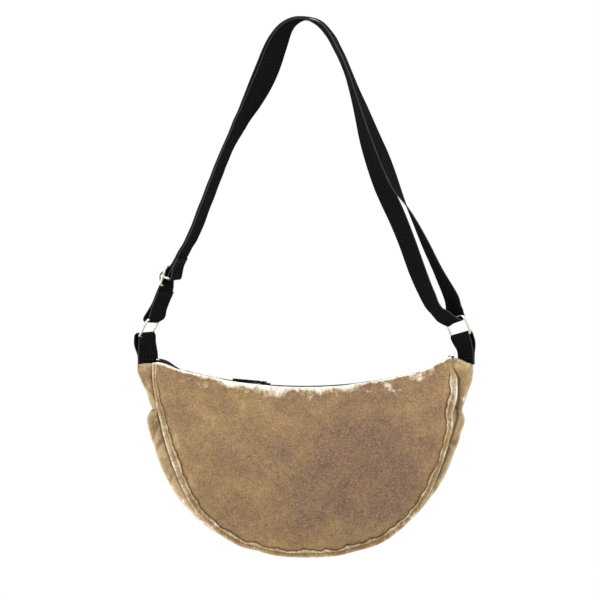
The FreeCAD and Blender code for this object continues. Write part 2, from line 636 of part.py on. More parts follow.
# Tabs: webbing over each ring's lower bar, both layers twisting down to a sewn end in the gusset's corner.
LOWER_BAR = moved(LEFT, 0, 0, -RING_REACH)
DOWN = Vec(0, 0, -1)
tab_down = unit(DOWN - LEFT_WIDE * DOWN.dot(LEFT_WIDE))
tab_normal = unit(LEFT_WIDE.cross(tab_down))
TAB_TOP = (LOWER_BAR[0], LEFT_WIDE, tab_normal, tab_down * -1)
seat_turn = math.radians(TAB_TURN)
seat_wide = Vec(math.sin(seat_turn), math.cos(seat_turn), 0)
seat_normal = unit(seat_wide.cross(DOWN))
seat_low = Vec(-CORNER_HALF - TAB_SEAT, 0, -CORNER_DROP - TAB_BURIED)
TAB_SEAT_FRAME = (seat_low, seat_wide, seat_normal, DOWN * -1)
seat_top = at(TAB_SEAT_FRAME, 0, 0, TAB_SEWN)


def tab_leg(side):
    ends = sorted([side * LOOP_IN, side * LOOP_OUT])
    seats = sorted([0, side * THICK])
    top = rectangle(LOWER_BAR[0], LEFT_WIDE, tab_normal, HALF_WEB, ends[0], ends[1])
    bottom = rectangle(seat_top, seat_wide, seat_normal, HALF_WEB, seats[0], seats[1])
    return Part.makeLoft([top, bottom], True, True)


sewn_end = block(TAB_SEAT_FRAME, (-HALF_WEB, HALF_WEB), (-THICK, THICK), (0, TAB_SEWN))
left_tab = joined([bend(TAB_TOP, LOOP_IN, LOOP_OUT, 0, 180, HALF_WEB), tab_leg(-1), tab_leg(1), sewn_end])
right_tab = mirrored_x(left_tab)
tack_low = TAB_BURIED + STITCH_LENGTH
left_tack = block(
    TAB_SEAT_FRAME, (-HALF_STITCH, HALF_STITCH), (THICK, THICK + STITCH_HEIGHT),
    (tack_low, tack_low + STITCH_LENGTH))
tab_bartacks = Part.makeCompound([left_tack, mirrored_x(left_tack)])

# Corner covers: the gusset's turned-in top, closed round the tab.
corner_half = gusset_half(0) - SKIN - LAYER_GAP
corner_lip = GUSSET_BULGE * GUSSET_SHARES[0][1] * GUSSET_SHARES[0][2]
corner_crest = GUSSET_BULGE * GUSSET_SHARES[0][1] - SKIN - LAYER_GAP
cover_top = Vec(-CORNER_HALF, 0, -CORNER_DROP - LAYER_GAP)


def cover_spot(out, across):
    return cover_top + Vec(-out, across, 0)


cover_section = face([
    Part.makeLine(cover_spot(0, -corner_half), cover_spot(corner_lip, -corner_half)),
    Part.Arc(
        cover_spot(corner_lip, -corner_half), cover_spot(corner_crest, 0),
        cover_spot(corner_lip, corner_half)).toShape(),
    Part.makeLine(cover_spot(corner_lip, corner_half), cover_spot(0, corner_half)),
    Part.makeLine(cover_spot(0, corner_half), cover_spot(0, -corner_half))])
tab_slot = block(
    TAB_SEAT_FRAME, (-HALF_WEB - LAYER_GAP, HALF_WEB + LAYER_GAP), (-THICK - LAYER_GAP, THICK + LAYER_GAP),
    (0, TAB_SEWN))
left_corner_cover = cover_section.extrude(DOWN * COVER).cut(tab_slot)
right_corner_cover = mirrored_x(left_corner_cover)

PIECES = {
    "front_panel": front_panel, "back_panel": back_panel, "gusset_band": gusset_band,
    "front_lining": front_lining, "back_lining": back_lining, "gusset_lining": gusset_lining,
    "front_zip_tape": front_zip_tape, "back_zip_tape": back_zip_tape,
    "front_zip_coil": front_zip_coil, "back_zip_coil": back_zip_coil,
    "zip_top_stops": zip_top_stops, "zip_bottom_stop": zip_bottom_stop,
    "zip_slider_body": zip_slider_body, "zip_pull": zip_pull,
    "left_tab": left_tab, "right_tab": right_tab, "tab_bartacks": tab_bartacks,
    "left_corner_cover": left_corner_cover, "right_corner_cover": right_corner_cover,
    "left_ring": left_ring, "right_ring": right_ring,
    "strap_tail": strap_tail, "strap_tail_stitching": strap_tail_stitching,
    "strap_running_layer": strap_running_layer, "strap_ring_loop": strap_ring_loop,
    "strap_return_layer": strap_return_layer, "strap_sewn_stretch": strap_sewn_stretch,
    "strap_end_loop": strap_end_loop, "strap_end_stitching": strap_end_stitching,
    "adjuster_frame": adjuster_frame, "adjuster_bar": adjuster_bar,
}
os.makedirs("parts", exist_ok=True)
for name, shape in PIECES.items():
    shape.exportStep("parts/" + name + ".step")
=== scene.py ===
import json
import math
from bisect import bisect_right

import bmesh
import bpy
from mathutils import Matrix, Vector, noise

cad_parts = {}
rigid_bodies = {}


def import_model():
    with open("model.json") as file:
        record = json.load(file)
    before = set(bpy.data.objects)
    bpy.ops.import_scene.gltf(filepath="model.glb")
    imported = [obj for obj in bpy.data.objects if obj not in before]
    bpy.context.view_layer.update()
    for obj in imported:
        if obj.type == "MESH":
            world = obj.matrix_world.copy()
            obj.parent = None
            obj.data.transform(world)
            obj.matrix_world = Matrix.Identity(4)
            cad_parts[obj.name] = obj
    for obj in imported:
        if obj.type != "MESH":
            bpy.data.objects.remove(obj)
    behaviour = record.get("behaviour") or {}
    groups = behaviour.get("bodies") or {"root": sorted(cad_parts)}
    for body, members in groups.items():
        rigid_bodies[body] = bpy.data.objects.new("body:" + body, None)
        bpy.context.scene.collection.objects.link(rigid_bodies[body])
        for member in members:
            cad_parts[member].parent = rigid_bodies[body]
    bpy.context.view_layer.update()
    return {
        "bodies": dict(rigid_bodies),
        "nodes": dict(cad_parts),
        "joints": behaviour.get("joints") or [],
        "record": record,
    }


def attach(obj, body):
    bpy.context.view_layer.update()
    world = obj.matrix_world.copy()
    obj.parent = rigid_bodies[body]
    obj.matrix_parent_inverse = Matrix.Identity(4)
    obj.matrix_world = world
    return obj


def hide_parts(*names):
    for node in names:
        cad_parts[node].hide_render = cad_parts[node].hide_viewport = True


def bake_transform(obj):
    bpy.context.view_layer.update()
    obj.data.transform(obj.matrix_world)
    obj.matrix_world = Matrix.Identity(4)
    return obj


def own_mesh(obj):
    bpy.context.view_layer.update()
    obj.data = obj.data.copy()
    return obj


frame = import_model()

# Velvet panels: two half moons of crushed velvet on a stiff backing, one in front and one behind. Each is
# hemmed along its hollow top edge and sewn to the gusset with its rim turned outwards as a puckered flange.
# Lengths are in millimetres until a finished mesh is scaled.
MM = 0.001
CORNER_HALF, CORNER_DROP, SEAM_DEPTH = 155.0, 358.5, 195.2
TOP_Z, FOOT_Z = -CORNER_DROP, -CORNER_DROP - SEAM_DEPTH
ZIP_SAG = 24.5
ZIP_RADIUS = (CORNER_HALF ** 2 + ZIP_SAG ** 2) / (2 * ZIP_SAG)
AXIS_Z = math.sqrt(ZIP_RADIUS ** 2 - CORNER_HALF ** 2) - CORNER_DROP
CORNER_ANGLE = math.degrees(math.asin(CORNER_HALF / ZIP_RADIUS))
PROFILE_RUN = AXIS_Z + CORNER_DROP + SEAM_DEPTH - ZIP_RADIUS
PANEL_TOP_HALF, PANEL_BELLY_HALF, PANEL_FOOT_HALF, BELLY_SHARE = 13.5, 40.0, 33.0, 0.62
OUTLINE_ACROSS, OUTLINE_DOWN = 0.7, 2.0 / 1.7
# Where the outline is fuller or flatter, and the flange wider or narrower: by how much, at what angle along
# the seam, and over how many degrees. The flange opens out from each tip between the two angles given.
LEFT_FULLER, FOOT_FLATTER = (2.4, 53.0, 13.0), (1.9, 78.5, 5.5)
FLANGE_WIDTH, LEFT_TIP_SHARE = 7.0, 0.5
LEFT_TIP, RIGHT_TIP = (9.0, 26.0), (3.5, 8.0)
RIGHT_FLARED, RIGHT_NARROWED = (0.2, 12.0, 4.0), (0.27, 30.0, 14.0)


def eased(low, high, value):
    t = min(1.0, max(0.0, (value - low) / (high - low)))
    return t * t * (3 - 2 * t)


def hump(value, middle, width):
    return math.exp(-((value - middle) / width) ** 2)


def swell(value, level, middle, width):
    return level * hump(value, middle, width)


def wavering(x, y=0.0, z=0.0):
    return noise.noise(Vector((x, y, z)))


def circle_through(a, b, c):
    (ax, ay), (bx, by), (cx, cy) = a, b, c
    d = 2 * (ax * (by - cy) + bx * (cy - ay) + cx * (ay - by))
    sa, sb, sc = ax * ax + ay * ay, bx * bx + by * by, cx * cx + cy * cy
    x = (sa * (by - cy) + sb * (cy - ay) + sc * (ay - by)) / d
    y = (sa * (cx - bx) + sb * (ax - cx) + sc * (bx - ax)) / d
    return x, y, math.hypot(ax - x, ay - y)


PROFILE_X, PROFILE_Y, PROFILE_R = circle_through(
    (0.0, PANEL_TOP_HALF), (BELLY_SHARE * PROFILE_RUN, PANEL_BELLY_HALF), (PROFILE_RUN, PANEL_FOOT_HALF))


def half_depth(radius, inside=0.0):
    # Depth of the panel's face from the middle plane at this radius from the zip's axis.
    run = radius - ZIP_RADIUS - PROFILE_X
    return PROFILE_Y + math.sqrt((PROFILE_R - inside) ** 2 - run * run)


def depth_slope(radius):
    run = radius - ZIP_RADIUS - PROFILE_X
    return -run / math.sqrt(PROFILE_R ** 2 - run * run)


def seam_spot(angle):
    # The pattern's outline, rounder at the foot and a little fuller low on the left.
    below = min(angle, 180 - angle)
    turn = math.radians(below)
    across = CORNER_HALF * abs(math.cos(turn)) ** OUTLINE_ACROSS + (angle < 90) * swell(below, *LEFT_FULLER)
    down = SEAM_DEPTH * math.sin(turn) ** OUTLINE_DOWN - swell(below, *FOOT_FLATTER)
    return Vector((across if angle > 90 else -across, 0, TOP_Z - down))


SEAM_ANGLES = [k * 0.1 for k in range(1801)]
SEAM_RUN = [0.0]
for first, second in zip(SEAM_ANGLES, SEAM_ANGLES[1:]):
    SEAM_RUN.append(SEAM_RUN[-1] + (seam_spot(second) - seam_spot(first)).length)
SEAM_LENGTH = SEAM_RUN[-1]


def seam_angle(run):
    run = min(max(run, 0.0), SEAM_LENGTH)
    k = min(bisect_right(SEAM_RUN, run), len(SEAM_RUN) - 1)
    share = (run - SEAM_RUN[k - 1]) / (SEAM_RUN[k] - SEAM_RUN[k - 1])
    return SEAM_ANGLES[k - 1] + share * (SEAM_ANGLES[k] - SEAM_ANGLES[k - 1])


def seam_frame(run):
    # Point on the seam this far from the left corner, and the direction out of the bag there.
    reach = 2.0
    before, after = seam_spot(seam_angle(run - reach)), seam_spot(seam_angle(run + reach))
    tangent = after - before
    out = Vector((tangent.z, 0, -tangent.x)).normalized()
    end = min(run, SEAM_LENGTH - run)
    if end < reach:
        side = Vector((-1 if run < reach else 1, 0, 0))
        out = side.lerp(out, end / reach).normalized()
    return seam_spot(seam_angle(run)), out


def flange_share(angle):
    # How much of its full width the flange has at this angle along the seam.
    right = 180 - angle
    if right < 90:
        return eased(*RIGHT_TIP, right) + swell(right, *RIGHT_FLARED) - swell(right, *RIGHT_NARROWED)
    return LEFT_TIP_SHARE + (1 - LEFT_TIP_SHARE) * eased(*LEFT_TIP, angle)


LEAN, TOP_LEAN = 0.07, 0.22
RIGHT_DRAWN, LEFT_HELD, FOOT_SHALLOW = 5.6, 1.8, 1.4
RIGHT_DRAWN_FROM, RIGHT_DRAWN_TO, LEFT_HELD_AT = (124, 152), (154, 176), (-148, 9)
LEANING_TOP, DRAWN_TOP, HELD_TOP = (TOP_Z - 70, TOP_Z - 5), (TOP_Z - 48, TOP_Z), (TOP_Z - 30, TOP_Z)
SHALLOW_FOOT, FRONT_TO_BACK = (FOOT_Z + 10, FOOT_Z + 60), (-6, 6)


def settled(spot):
    # The filled bag hangs a little askew: its front is carried to the left, most of all at the top corners,
    # its tabs draw up the right corner and hold the left one, and its foot is shallow.
    high = eased(*LEANING_TOP, spot.z)
    drawn = eased(*RIGHT_DRAWN_FROM, spot.x) * (1 - eased(*RIGHT_DRAWN_TO, spot.x))
    drawn *= eased(*DRAWN_TOP, spot.z)
    held = hump(spot.x, *LEFT_HELD_AT) * eased(*HELD_TOP, spot.z)
    shallow = 1 - eased(*SHALLOW_FOOT, spot.z)
    askew = spot.y * (LEAN + TOP_LEAN * high * (1 - eased(*FRONT_TO_BACK, spot.y)))
    raised = RIGHT_DRAWN * drawn + LEFT_HELD * held + FOOT_SHALLOW * shallow
    return Vector((spot.x + askew, spot.y, spot.z + raised))


def settle(bm):
    for v in bm.verts:
        v.co = settled(v.co / MM) * MM
    return bm


def finished(name, bm, finish, body, stands_for=()):
    mesh = bpy.data.meshes.new(name)
    bm.to_mesh(mesh)
    bm.free()
    mesh.shade_smooth()
    mesh.materials.append(finish)
    piece = bpy.data.objects.new(name, mesh)
    bpy.context.scene.collection.objects.link(piece)
    if body:
        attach(piece, body)
    if stands_for:
        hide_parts(*stands_for)
    return piece


def cloth_grid(columns, rows, place, behind):
    # A flat grid whose points are carried to place(column, row), which gives the point, its place on the
    # cloth and three marks: painted highlight, painted shade in creases, and a tint for the pile's own tone,
    # which on the panels' flanges holds painted highlight too. Faces turn away from the point behind them.
    bm = bmesh.new()
    cloth = bm.loops.layers.uv.new("cloth")
    marks = bm.verts.layers.float_vector.new("pile_marks")
    bmesh.ops.create_grid(bm, x_segments=columns, y_segments=rows, size=0.5)
    flat = {}
    for v in bm.verts:
        spot, flat[v], v[marks] = place(round((v.co.x + 0.5) * columns), round((v.co.y + 0.5) * rows))
        v.co = spot * MM
    for f in bm.faces:
        for loop in f.loops:
            loop[cloth].uv = flat[loop.vert]
    bm.normal_update()
    bm.faces.ensure_lookup_table()
    tried = bm.faces[len(bm.faces) // 2 + columns // 2]
    if tried.normal.dot(tried.calc_center_median() - behind * MM) < 0:
        bmesh.ops.reverse_faces(bm, faces=bm.faces[:])
    return bm


def thickened(piece, thickness):
    wall = piece.modifiers.new("cloth_thickness", "SOLIDIFY")
    wall.thickness = thickness * MM
    wall.offset = -1.0
    return piece


def srgb(red, green, blue):
    shares = (red / 255, green / 255, blue / 255)
    return (*(c / 12.92 if c <= 0.04045 else ((c + 0.055) / 1.055) ** 2.4 for c in shares), 1.0)


def add_node(tree, kind, inputs=None, **settings):
    made = tree.nodes.new("ShaderNode" + kind)
    for key, value in settings.items():
        setattr(made, key, value)
    for key, value in (inputs or {}).items():
        if isinstance(value, bpy.types.NodeSocket):
            tree.links.new(value, made.inputs[key])
        else:
            made.inputs[key].default_value = value
    return made


def new_finish(name, **sockets):
    finish = bpy.data.materials.new(name)
    finish.use_nodes = True
    shader = finish.node_tree.nodes["Principled BSDF"]
    for key, value in sockets.items():
        shader.inputs[key.replace("_", " ")].default_value = value
    return finish, finish.node_tree, shader


def reckon(tree, operation, first, second=0.0, third=0.0, clamp=False):
    made = add_node(tree, "Math", {0: first, 1: second, 2: third}, operation=operation, use_clamp=clamp)
    return made.outputs[0]


def mixed(tree, share, first, second, blend="MIX"):
    made = add_node(tree, "Mix", {0: share, 6: first, 7: second}, data_type="RGBA", blend_type=blend)
    return made.outputs[2]


def ramped(tree, value, stops):
    made = add_node(tree, "ValToRGB", {0: value})
    band = made.color_ramp
    while len(band.elements) < len(stops):
        band.elements.new(0.5)
    for element, (place, colour) in zip(band.elements, stops):
        element.position, element.color = place, colour
    return made.outputs[0]


def mottled(tree, where, scale, detail=2.0, **more):
    return add_node(tree, "TexNoise", {"Vector": where, "Scale": scale, "Detail": detail, **more}).outputs[0]


# The pile's own tones run from mauve through gold to pale, with its tip colour; the lifted and brushed
# colours are painted highlight, the glow colour is painted sheen and the crease colour is painted shade.
PILE_MAUVE, PILE_MIDDLE, PILE_GOLD = srgb(128, 100, 80), srgb(145, 116, 84), srgb(159, 129, 88)
PILE_PALE, PILE_SOFT_HIGHLIGHT, PILE_TIP = srgb(184, 156, 114), srgb(206, 178, 136), srgb(226, 204, 170)
PILE_HIGHLIGHT, PILE_RIM_SHEEN, PILE_CREASE_SHADE = srgb(255, 251, 238), srgb(255, 240, 208), srgb(48, 32, 18)
# How many marks to the metre, from the broad changes of colour down to the tips of the pile.
BROAD, CRUSHED, STREAKED, GRAINED, TIPPED = 30.0, 130.0, 420.0, 560.0, 800.0
PILE_LAY, PILE_TURN = (1.0, 1.0, 0.45), (0.0, 0.25, 0.0)

velvet, tree, shader = new_finish(
    "crushed_velvet", Roughness=0.9, Specular_IOR_Level=0.15, Sheen_Weight=0.8, Sheen_Roughness=0.3,
    Sheen_Tint=srgb(250, 232, 204))
where = add_node(tree, "TexCoord").outputs["Object"]
marks = add_node(tree, "Attribute", attribute_name="pile_marks").outputs["Vector"]
marks = add_node(tree, "SeparateXYZ", {0: marks}).outputs
broad = mottled(tree, where, BROAD, 3.0)
crush = mottled(tree, where, CRUSHED, 4.0, Roughness=0.62, Distortion=0.5)
lay = add_node(tree, "Mapping", {"Vector": where, "Scale": PILE_LAY, "Rotation": PILE_TURN}).outputs[0]
streak = mottled(tree, lay, STREAKED)
grain = mottled(tree, where, GRAINED, 3.0, Roughness=0.7)
facing = add_node(tree, "LayerWeight", {"Blend": 0.5}).outputs["Facing"]
tint = reckon(tree, "MULTIPLY_ADD", broad, 1.5, -0.3)
tint = reckon(tree, "MULTIPLY_ADD", marks[2], 0.5, tint)
# Painted sheen: the tint runs paler where the surface is seen at a grazing angle.
tint = reckon(tree, "MULTIPLY_ADD", reckon(tree, "POWER", facing, 2.0), 0.6, tint)
pile = ramped(tree, tint, [(0.0, PILE_MAUVE), (0.45, PILE_MIDDLE), (0.78, PILE_GOLD), (1.0, PILE_PALE)])
shade = reckon(tree, "MULTIPLY_ADD", crush, 0.9, -0.3)
shade = reckon(tree, "MULTIPLY_ADD", streak, 0.5, shade)
shade = reckon(tree, "MULTIPLY_ADD", grain, 1.2, shade)
pile = mixed(tree, 1.0, pile, shade, "MULTIPLY")
tips = mottled(tree, where, TIPPED, Roughness=0.6)
pile = mixed(tree, reckon(tree, "MULTIPLY_ADD", tips, 1.3, -0.62, clamp=True), pile, PILE_TIP)
# Painted highlight: where the first pile mark rises over the pile's noise, a pale colour and then a
# near-white one are mixed in.
raised = reckon(tree, "MULTIPLY_ADD", crush, 1.2, -1.8)
raised = reckon(tree, "MULTIPLY_ADD", grain, 0.7, raised)
raised = reckon(tree, "MULTIPLY_ADD", streak, 0.7, raised)
raised = reckon(tree, "ADD", raised, marks[0])
raised = reckon(tree, "MULTIPLY", raised, 1.3, clamp=True)
pile = mixed(tree, raised, pile, PILE_SOFT_HIGHLIGHT)
pile = mixed(tree, reckon(tree, "POWER", raised, 2.2), pile, PILE_HIGHLIGHT)
# Painted sheen: a near-white cream is mixed in, in ragged patches, where the surface is seen edge-on.
rim_sheen = reckon(tree, "MULTIPLY_ADD", facing, 3.0, -2.0, clamp=True)
ragged = reckon(tree, "MULTIPLY_ADD", crush, 2.6, -0.2)
rim_sheen = reckon(tree, "MULTIPLY", reckon(tree, "POWER", rim_sheen, 1.4), ragged, clamp=True)
pile = mixed(tree, rim_sheen, pile, PILE_RIM_SHEEN)
# Painted shade: the second pile mark darkens the pile in creases, along the seams and beside the tabs.
pile = mixed(tree, reckon(tree, "MULTIPLY", marks[1], 0.9, clamp=True), pile, PILE_CREASE_SHADE)
nap = reckon(tree, "MULTIPLY_ADD", grain, 0.6, reckon(tree, "MULTIPLY", crush, 0.5))
bump = add_node(tree, "Bump", {"Strength": 0.35, "Distance": 0.0006, "Height": nap}).outputs[0]
tree.links.new(pile, shader.inputs["Base Color"])
tree.links.new(bump, shader.inputs["Normal"])

# Rows of a panel from the underside of its flange, round the flange's edge and over the stitch line: how far
# outside the stitch line, and how high over the panel's dished face.
FLANGE_ROWS = [
    (0.4, -1.75), (2.0, -1.8), (3.8, -1.8), (5.4, -1.75), (6.3, -1.45), (6.8, -0.9), (7.0, -0.25),
    (6.95, 0.3), (6.6, 0.8), (6.0, 1.1), (5.3, 1.15), (4.6, 1.0), (4.0, 0.8), (3.5, 0.72), (3.0, 0.8),
    (2.4, 0.95), (1.8, 0.95), (1.3, 0.7), (0.9, 0.3), (0.55, -0.25), (0.25, -0.75), (0.0, -0.95),
    (-0.3, -0.7), (-0.65, -0.2), (-1.1, 0.25), (-1.7, 0.62), (-2.5, 0.9), (-3.5, 1.05), (-4.7, 1.05),
    (-6.2, 0.9), (-8.0, 0.62), (-10.2, 0.32), (-12.5, 0.1), (-15.0, 0.0),
]
FACE_ROWS = 40
# Rows of the hem, down from the top edge: a sewn line, the fold over the edge, and the turned-in layer.
HEM_ROWS = [
    (9.0, 0.0), (7.6, 0.05), (6.6, 0.12), (5.9, 0.05), (5.4, -0.25), (5.0, -0.4), (4.6, -0.25), (4.0, 0.1),
    (3.2, 0.25), (2.3, 0.28), (1.5, 0.15), (0.85, -0.05), (0.35, -0.3), (0.08, -0.65), (0.0, -1.0),
    (0.1, -1.35), (0.45, -1.65), (1.2, -1.85), (3.0, -1.9), (6.0, -1.9),
]
PANEL_COLUMNS = 400
CORNER_FADE, CORNER_TURN = 32.0, 40.0
CLOTH_THICKNESS = 0.7
NOT_SEAM = -99.0
# Broad places where the front panel's pile lies over and looks darker, or stands and looks lighter: across,
# up, how wide, how tall and how much.
FRONT_NAP = [
    (72, -458, 56, 50, -1.3), (10, -505, 70, 34, -0.4), (-110, -425, 30, 40, 0.35), (-60, -470, 60, 60, 0.15),
    (-85, -392, 40, 14, 0.3), (105, -405, 40, 20, 0.35), (120, -470, 16, 50, 0.2), (20, -400, 80, 16, 0.35),
]
# Patches of painted highlight below the front panel's top edge, in the same way.
FRONT_HIGHLIGHTS = [
    (86, -381, 8, 6, 0.8), (96, -387, 10, 5, 0.8), (119, -373, 14, 6, 0.7), (136, -364, 10, 6, 0.7),
    (24, -390, 10, 4, 0.5), (-40, -390, 26, 6, 0.35),
]
# How deep the painted highlight reaches below both panels' top edges, from left to right.
TOP_HIGHLIGHT_DEPTH = [
    (-160, 0.6), (-128, 0.9), (-92, 1.4), (-74, 2.7), (-30, 3.0), (34, 2.7), (48, 1.9), (62, 1.4), (76, 0.7),
    (104, 0.35), (160, 0.4),
]
# How far the hems stand over the zip's line, from left to right.
HEM_RISE = [
    (-160, 0.8), (-95, 0.8), (-82, 0.1), (-40, -0.1), (-32, -0.5), (40, -0.5), (54, 0.2), (100, 0.3),
    (130, 0.5), (160, 0.7),
]
# The stitch line wavers, puckers along the foot, and kinks once on the right.
COARSE_WAVER, FINE_WAVER, PUCKER_SPAN, PUCKER_DEPTH, SEAM_KINK = 3.0, 1.3, 25.0, 2.4, (2.8, 19.0, 3.2)
FOOT_FROM, FOOT_TO, FADE_LEAST = (55, 75), (105, 125), 0.03
BROAD_DENT, SMALL_DENT = 1.3, 0.4
# Marks across the flange and the stitch line: how much, how far outside the line, and how wide. Painted
# highlight on the flange and its rims comes first, then painted shade in the creases, then a paler tint that
# is painted highlight too, then the painted highlight along the top edge and the clouds of it below.
FLANGE_HIGHLIGHT, FLANGE_RIM, STITCH_RIM, SHOULDER = 0.58, (0.5, 6.7, 0.6), (0.3, 1.5, 0.6), (0.7, -1.9, 0.7)
SEAM_CREASE_SHADE, FLANGE_CREASE_SHADE = (1.3, -0.1, 0.95), (3.6, 0.7)
ROOT_HIGHLIGHT_TINT, RIM_HIGHLIGHT_TINT, SHOULDER_HIGHLIGHT_TINT = (0.9, 1.7, 0.8), (0.9, 6.4, 1.0), (0.4, -4, 3)
TOP_HIGHLIGHT, CLOUDED, CLOUD_REACH = 1.3, 0.6, (4, 26)


def spot_x(top_angle):
    return ZIP_RADIUS * math.sin(top_angle)


def patches(table, x, z):
    return sum(level * hump(x, px, wide) * hump(z, pz, tall) for px, pz, wide, tall, level in table)


def between(table, x):
    for (x0, low), (x1, high) in zip(table, table[1:]):
        if x <= x1:
            return low + (high - low) * eased(x0, x1, x)
    return table[-1][1]


def panel_place(side, seed, nap_table, highlight_table):
    columns = []
    for i in range(PANEL_COLUMNS + 1):
        run = SEAM_LENGTH * i / PANEL_COLUMNS
        seam, out = seam_frame(run)
        end = min(run, SEAM_LENGTH - run)
        along_edge = math.radians(CORNER_ANGLE)
        inward_top = Vector((math.cos(along_edge), 0, -math.sin(along_edge)))
        if run > SEAM_LENGTH / 2:
            inward_top.x = -inward_top.x
        inward = inward_top.lerp(-out, eased(0, CORNER_TURN, end)).normalized()
        top_angle = math.radians(CORNER_ANGLE * (2 * i / PANEL_COLUMNS - 1))
        fade = FADE_LEAST + (1 - FADE_LEAST) * eased(0, CORNER_FADE, end)
        columns.append((run, seam, out, inward, fade, top_angle))
    zip_axis = Vector((0, 0, AXIS_Z))
    first_face = len(FLANGE_ROWS)
    first_hem = first_face + FACE_ROWS

    def place(i, j):
        run, seam, out, inward, fade, top_angle = columns[i]
        angle = seam_angle(run)
        over = Vector((math.sin(top_angle), 0, -math.cos(top_angle)))
        low_part = eased(*FOOT_FROM, angle) * (1 - eased(*FOOT_TO, angle))
        wobble = COARSE_WAVER * wavering(run / 12, seed) + FINE_WAVER * wavering(run / 4.7, seed, 3.7)
        scallop = abs(math.sin(math.pi * (run + 6 * wavering(run / 40, seed)) / PUCKER_SPAN)) ** 0.6
        height = offset = 0.0
        if j < first_face:
            offset, height = FLANGE_ROWS[j]
            sway = (wobble + low_part * PUCKER_DEPTH * (0.6 - scallop)) * hump(offset, -0.3, 2.4)
            sway += swell(180 - angle, *SEAM_KINK) * eased(-12, -2, offset)
            if offset > 0:
                spot = seam + out * (offset * flange_share(angle) - sway * fade)
                height *= 0.4 + 0.6 * flange_share(angle)
            else:
                spot = seam + inward * (-offset * fade) - out * (sway * fade)
                height *= fade
            pucker = 0.45 * wavering(run / 7, offset / 9, seed) + 0.35 * (scallop - 0.6) * (0.4 + low_part)
            height += pucker * hump(offset, -3.5, 4.0) * fade + 0.12 * wavering(run / 5, offset, seed)
        elif j < first_hem:
            share = (j - first_face + 1) / (FACE_ROWS + 1)
            rim = seam + inward * (-FLANGE_ROWS[-1][0] * fade)
            top = zip_axis + over * (ZIP_RADIUS + HEM_ROWS[0][0] * fade)
            spot = rim.lerp(top, share)
            offset = NOT_SEAM
        else:
            drop, height = HEM_ROWS[j - first_hem]
            rise = between(HEM_RISE, spot_x(top_angle)) + 0.25 * wavering(run / 11, seed, 2.2)
            rise *= 1 - eased(3, 9, drop)
            spot = zip_axis + over * (ZIP_RADIUS + drop * fade - rise * (0.2 + 0.8 * fade))
            height *= 0.35 + 0.65 * fade
            offset = NOT_SEAM
        from_axis = spot - zip_axis
        radius = max(from_axis.length, ZIP_RADIUS)
        below_top = from_axis.length - ZIP_RADIUS
        inside_rim = eased(4, 30, (spot - seam).length if offset > NOT_SEAM else 30)
        dent = BROAD_DENT * wavering(spot.x / 55, spot.z / 42, seed)
        dent += SMALL_DENT * wavering(spot.x / 21, spot.z / 17, seed)
        height += eased(3, 30, below_top) * inside_rim * dent
        slope = depth_slope(radius)
        lean = math.sqrt(1 + slope * slope)
        place_at = spot - from_axis.normalized() * (height * slope / lean)
        place_at.y = side * (half_depth(radius) + height / lean)
        # Painted highlight: a near-white band along the top edge, ragged below, with pale clouds and patches
        # from the table under it.
        top_run = top_angle * ZIP_RADIUS
        tufts = 0.8 * wavering(top_run / 13, below_top / 16, seed)
        tufts += 0.5 * wavering(top_run / 4, below_top / 6, seed)
        deep = between(TOP_HIGHLIGHT_DEPTH, spot.x) * max(0.3, 1 + tufts)
        painted_highlight = TOP_HIGHLIGHT * (1 - eased(0, 3.6 * deep + 0.6, below_top))
        cloudy = max(0.0, 0.5 + 1.3 * wavering(spot.x / 11, spot.z / 8, seed + 3))
        cloudy = CLOUDED * cloudy * (1 - eased(*CLOUD_REACH, below_top))
        ragged_patch = 0.7 + 0.9 * wavering(spot.x / 6, spot.z / 5, seed)
        cloudy += patches(highlight_table, spot.x, spot.z) * ragged_patch
        cloudy = min(cloudy, 0.5 + 0.1 * eased(-80, -50, spot.x) + 0.3 * eased(40, 80, spot.x))
        painted_highlight += cloudy * max(0.0, 1 - 0.6 * painted_highlight)
        # Painted highlight on the flange and its rims, and beside the stitch line on the panel.
        if offset > 0:
            lit = 0.95 + 0.5 * wavering(run / 17, seed, 6.1)
            rims = swell(offset, *FLANGE_RIM) + swell(offset, *STITCH_RIM)
            painted_highlight += (FLANGE_HIGHLIGHT * flange_share(angle) + rims) * lit
        elif offset > NOT_SEAM:
            painted_highlight += swell(offset, *SHOULDER) * fade * max(0.0, 0.3 + wavering(run / 8, seed, 9.3))
        # Painted shade in the seam's crease and along the flange.
        crease_shade = swell(offset, *SEAM_CREASE_SHADE) * fade + (0.25 + 0.3 * low_part) * hump(offset, *FLANGE_CREASE_SHADE)
        # The tint mark: the pile's own tone in broad patches, with painted highlight on the flange and beside
        # the seam.
        tint_mark = patches(nap_table, spot.x, spot.z) + 0.45 * wavering(spot.x / 24, spot.z / 24, seed + 5)
        tint_mark += 0.4 * eased(0.6, 1.6, offset) + swell(offset, *ROOT_HIGHLIGHT_TINT) + swell(offset, *RIM_HIGHLIGHT_TINT)
        tint_mark += swell(offset, *SHOULDER_HIGHLIGHT_TINT)
        return settled(place_at), (run * MM, -below_top * MM), (max(0.0, painted_highlight), crease_shade, tint_mark)

    return place, first_hem + len(HEM_ROWS) - 1


MIDDLE = Vector((0, 0, -460))
for side, seed, node, nap_table, highlight_table in (
        (-1, 1.3, "front_panel", FRONT_NAP, FRONT_HIGHLIGHTS), (1, 8.6, "back_panel", [], [])):
    place, rows = panel_place(side, seed, nap_table, highlight_table)
    sheet = cloth_grid(PANEL_COLUMNS, rows, place, MIDDLE)
    panel = thickened(finished("velvet_" + node, sheet, velvet, "bag", [node]), CLOTH_THICKNESS)

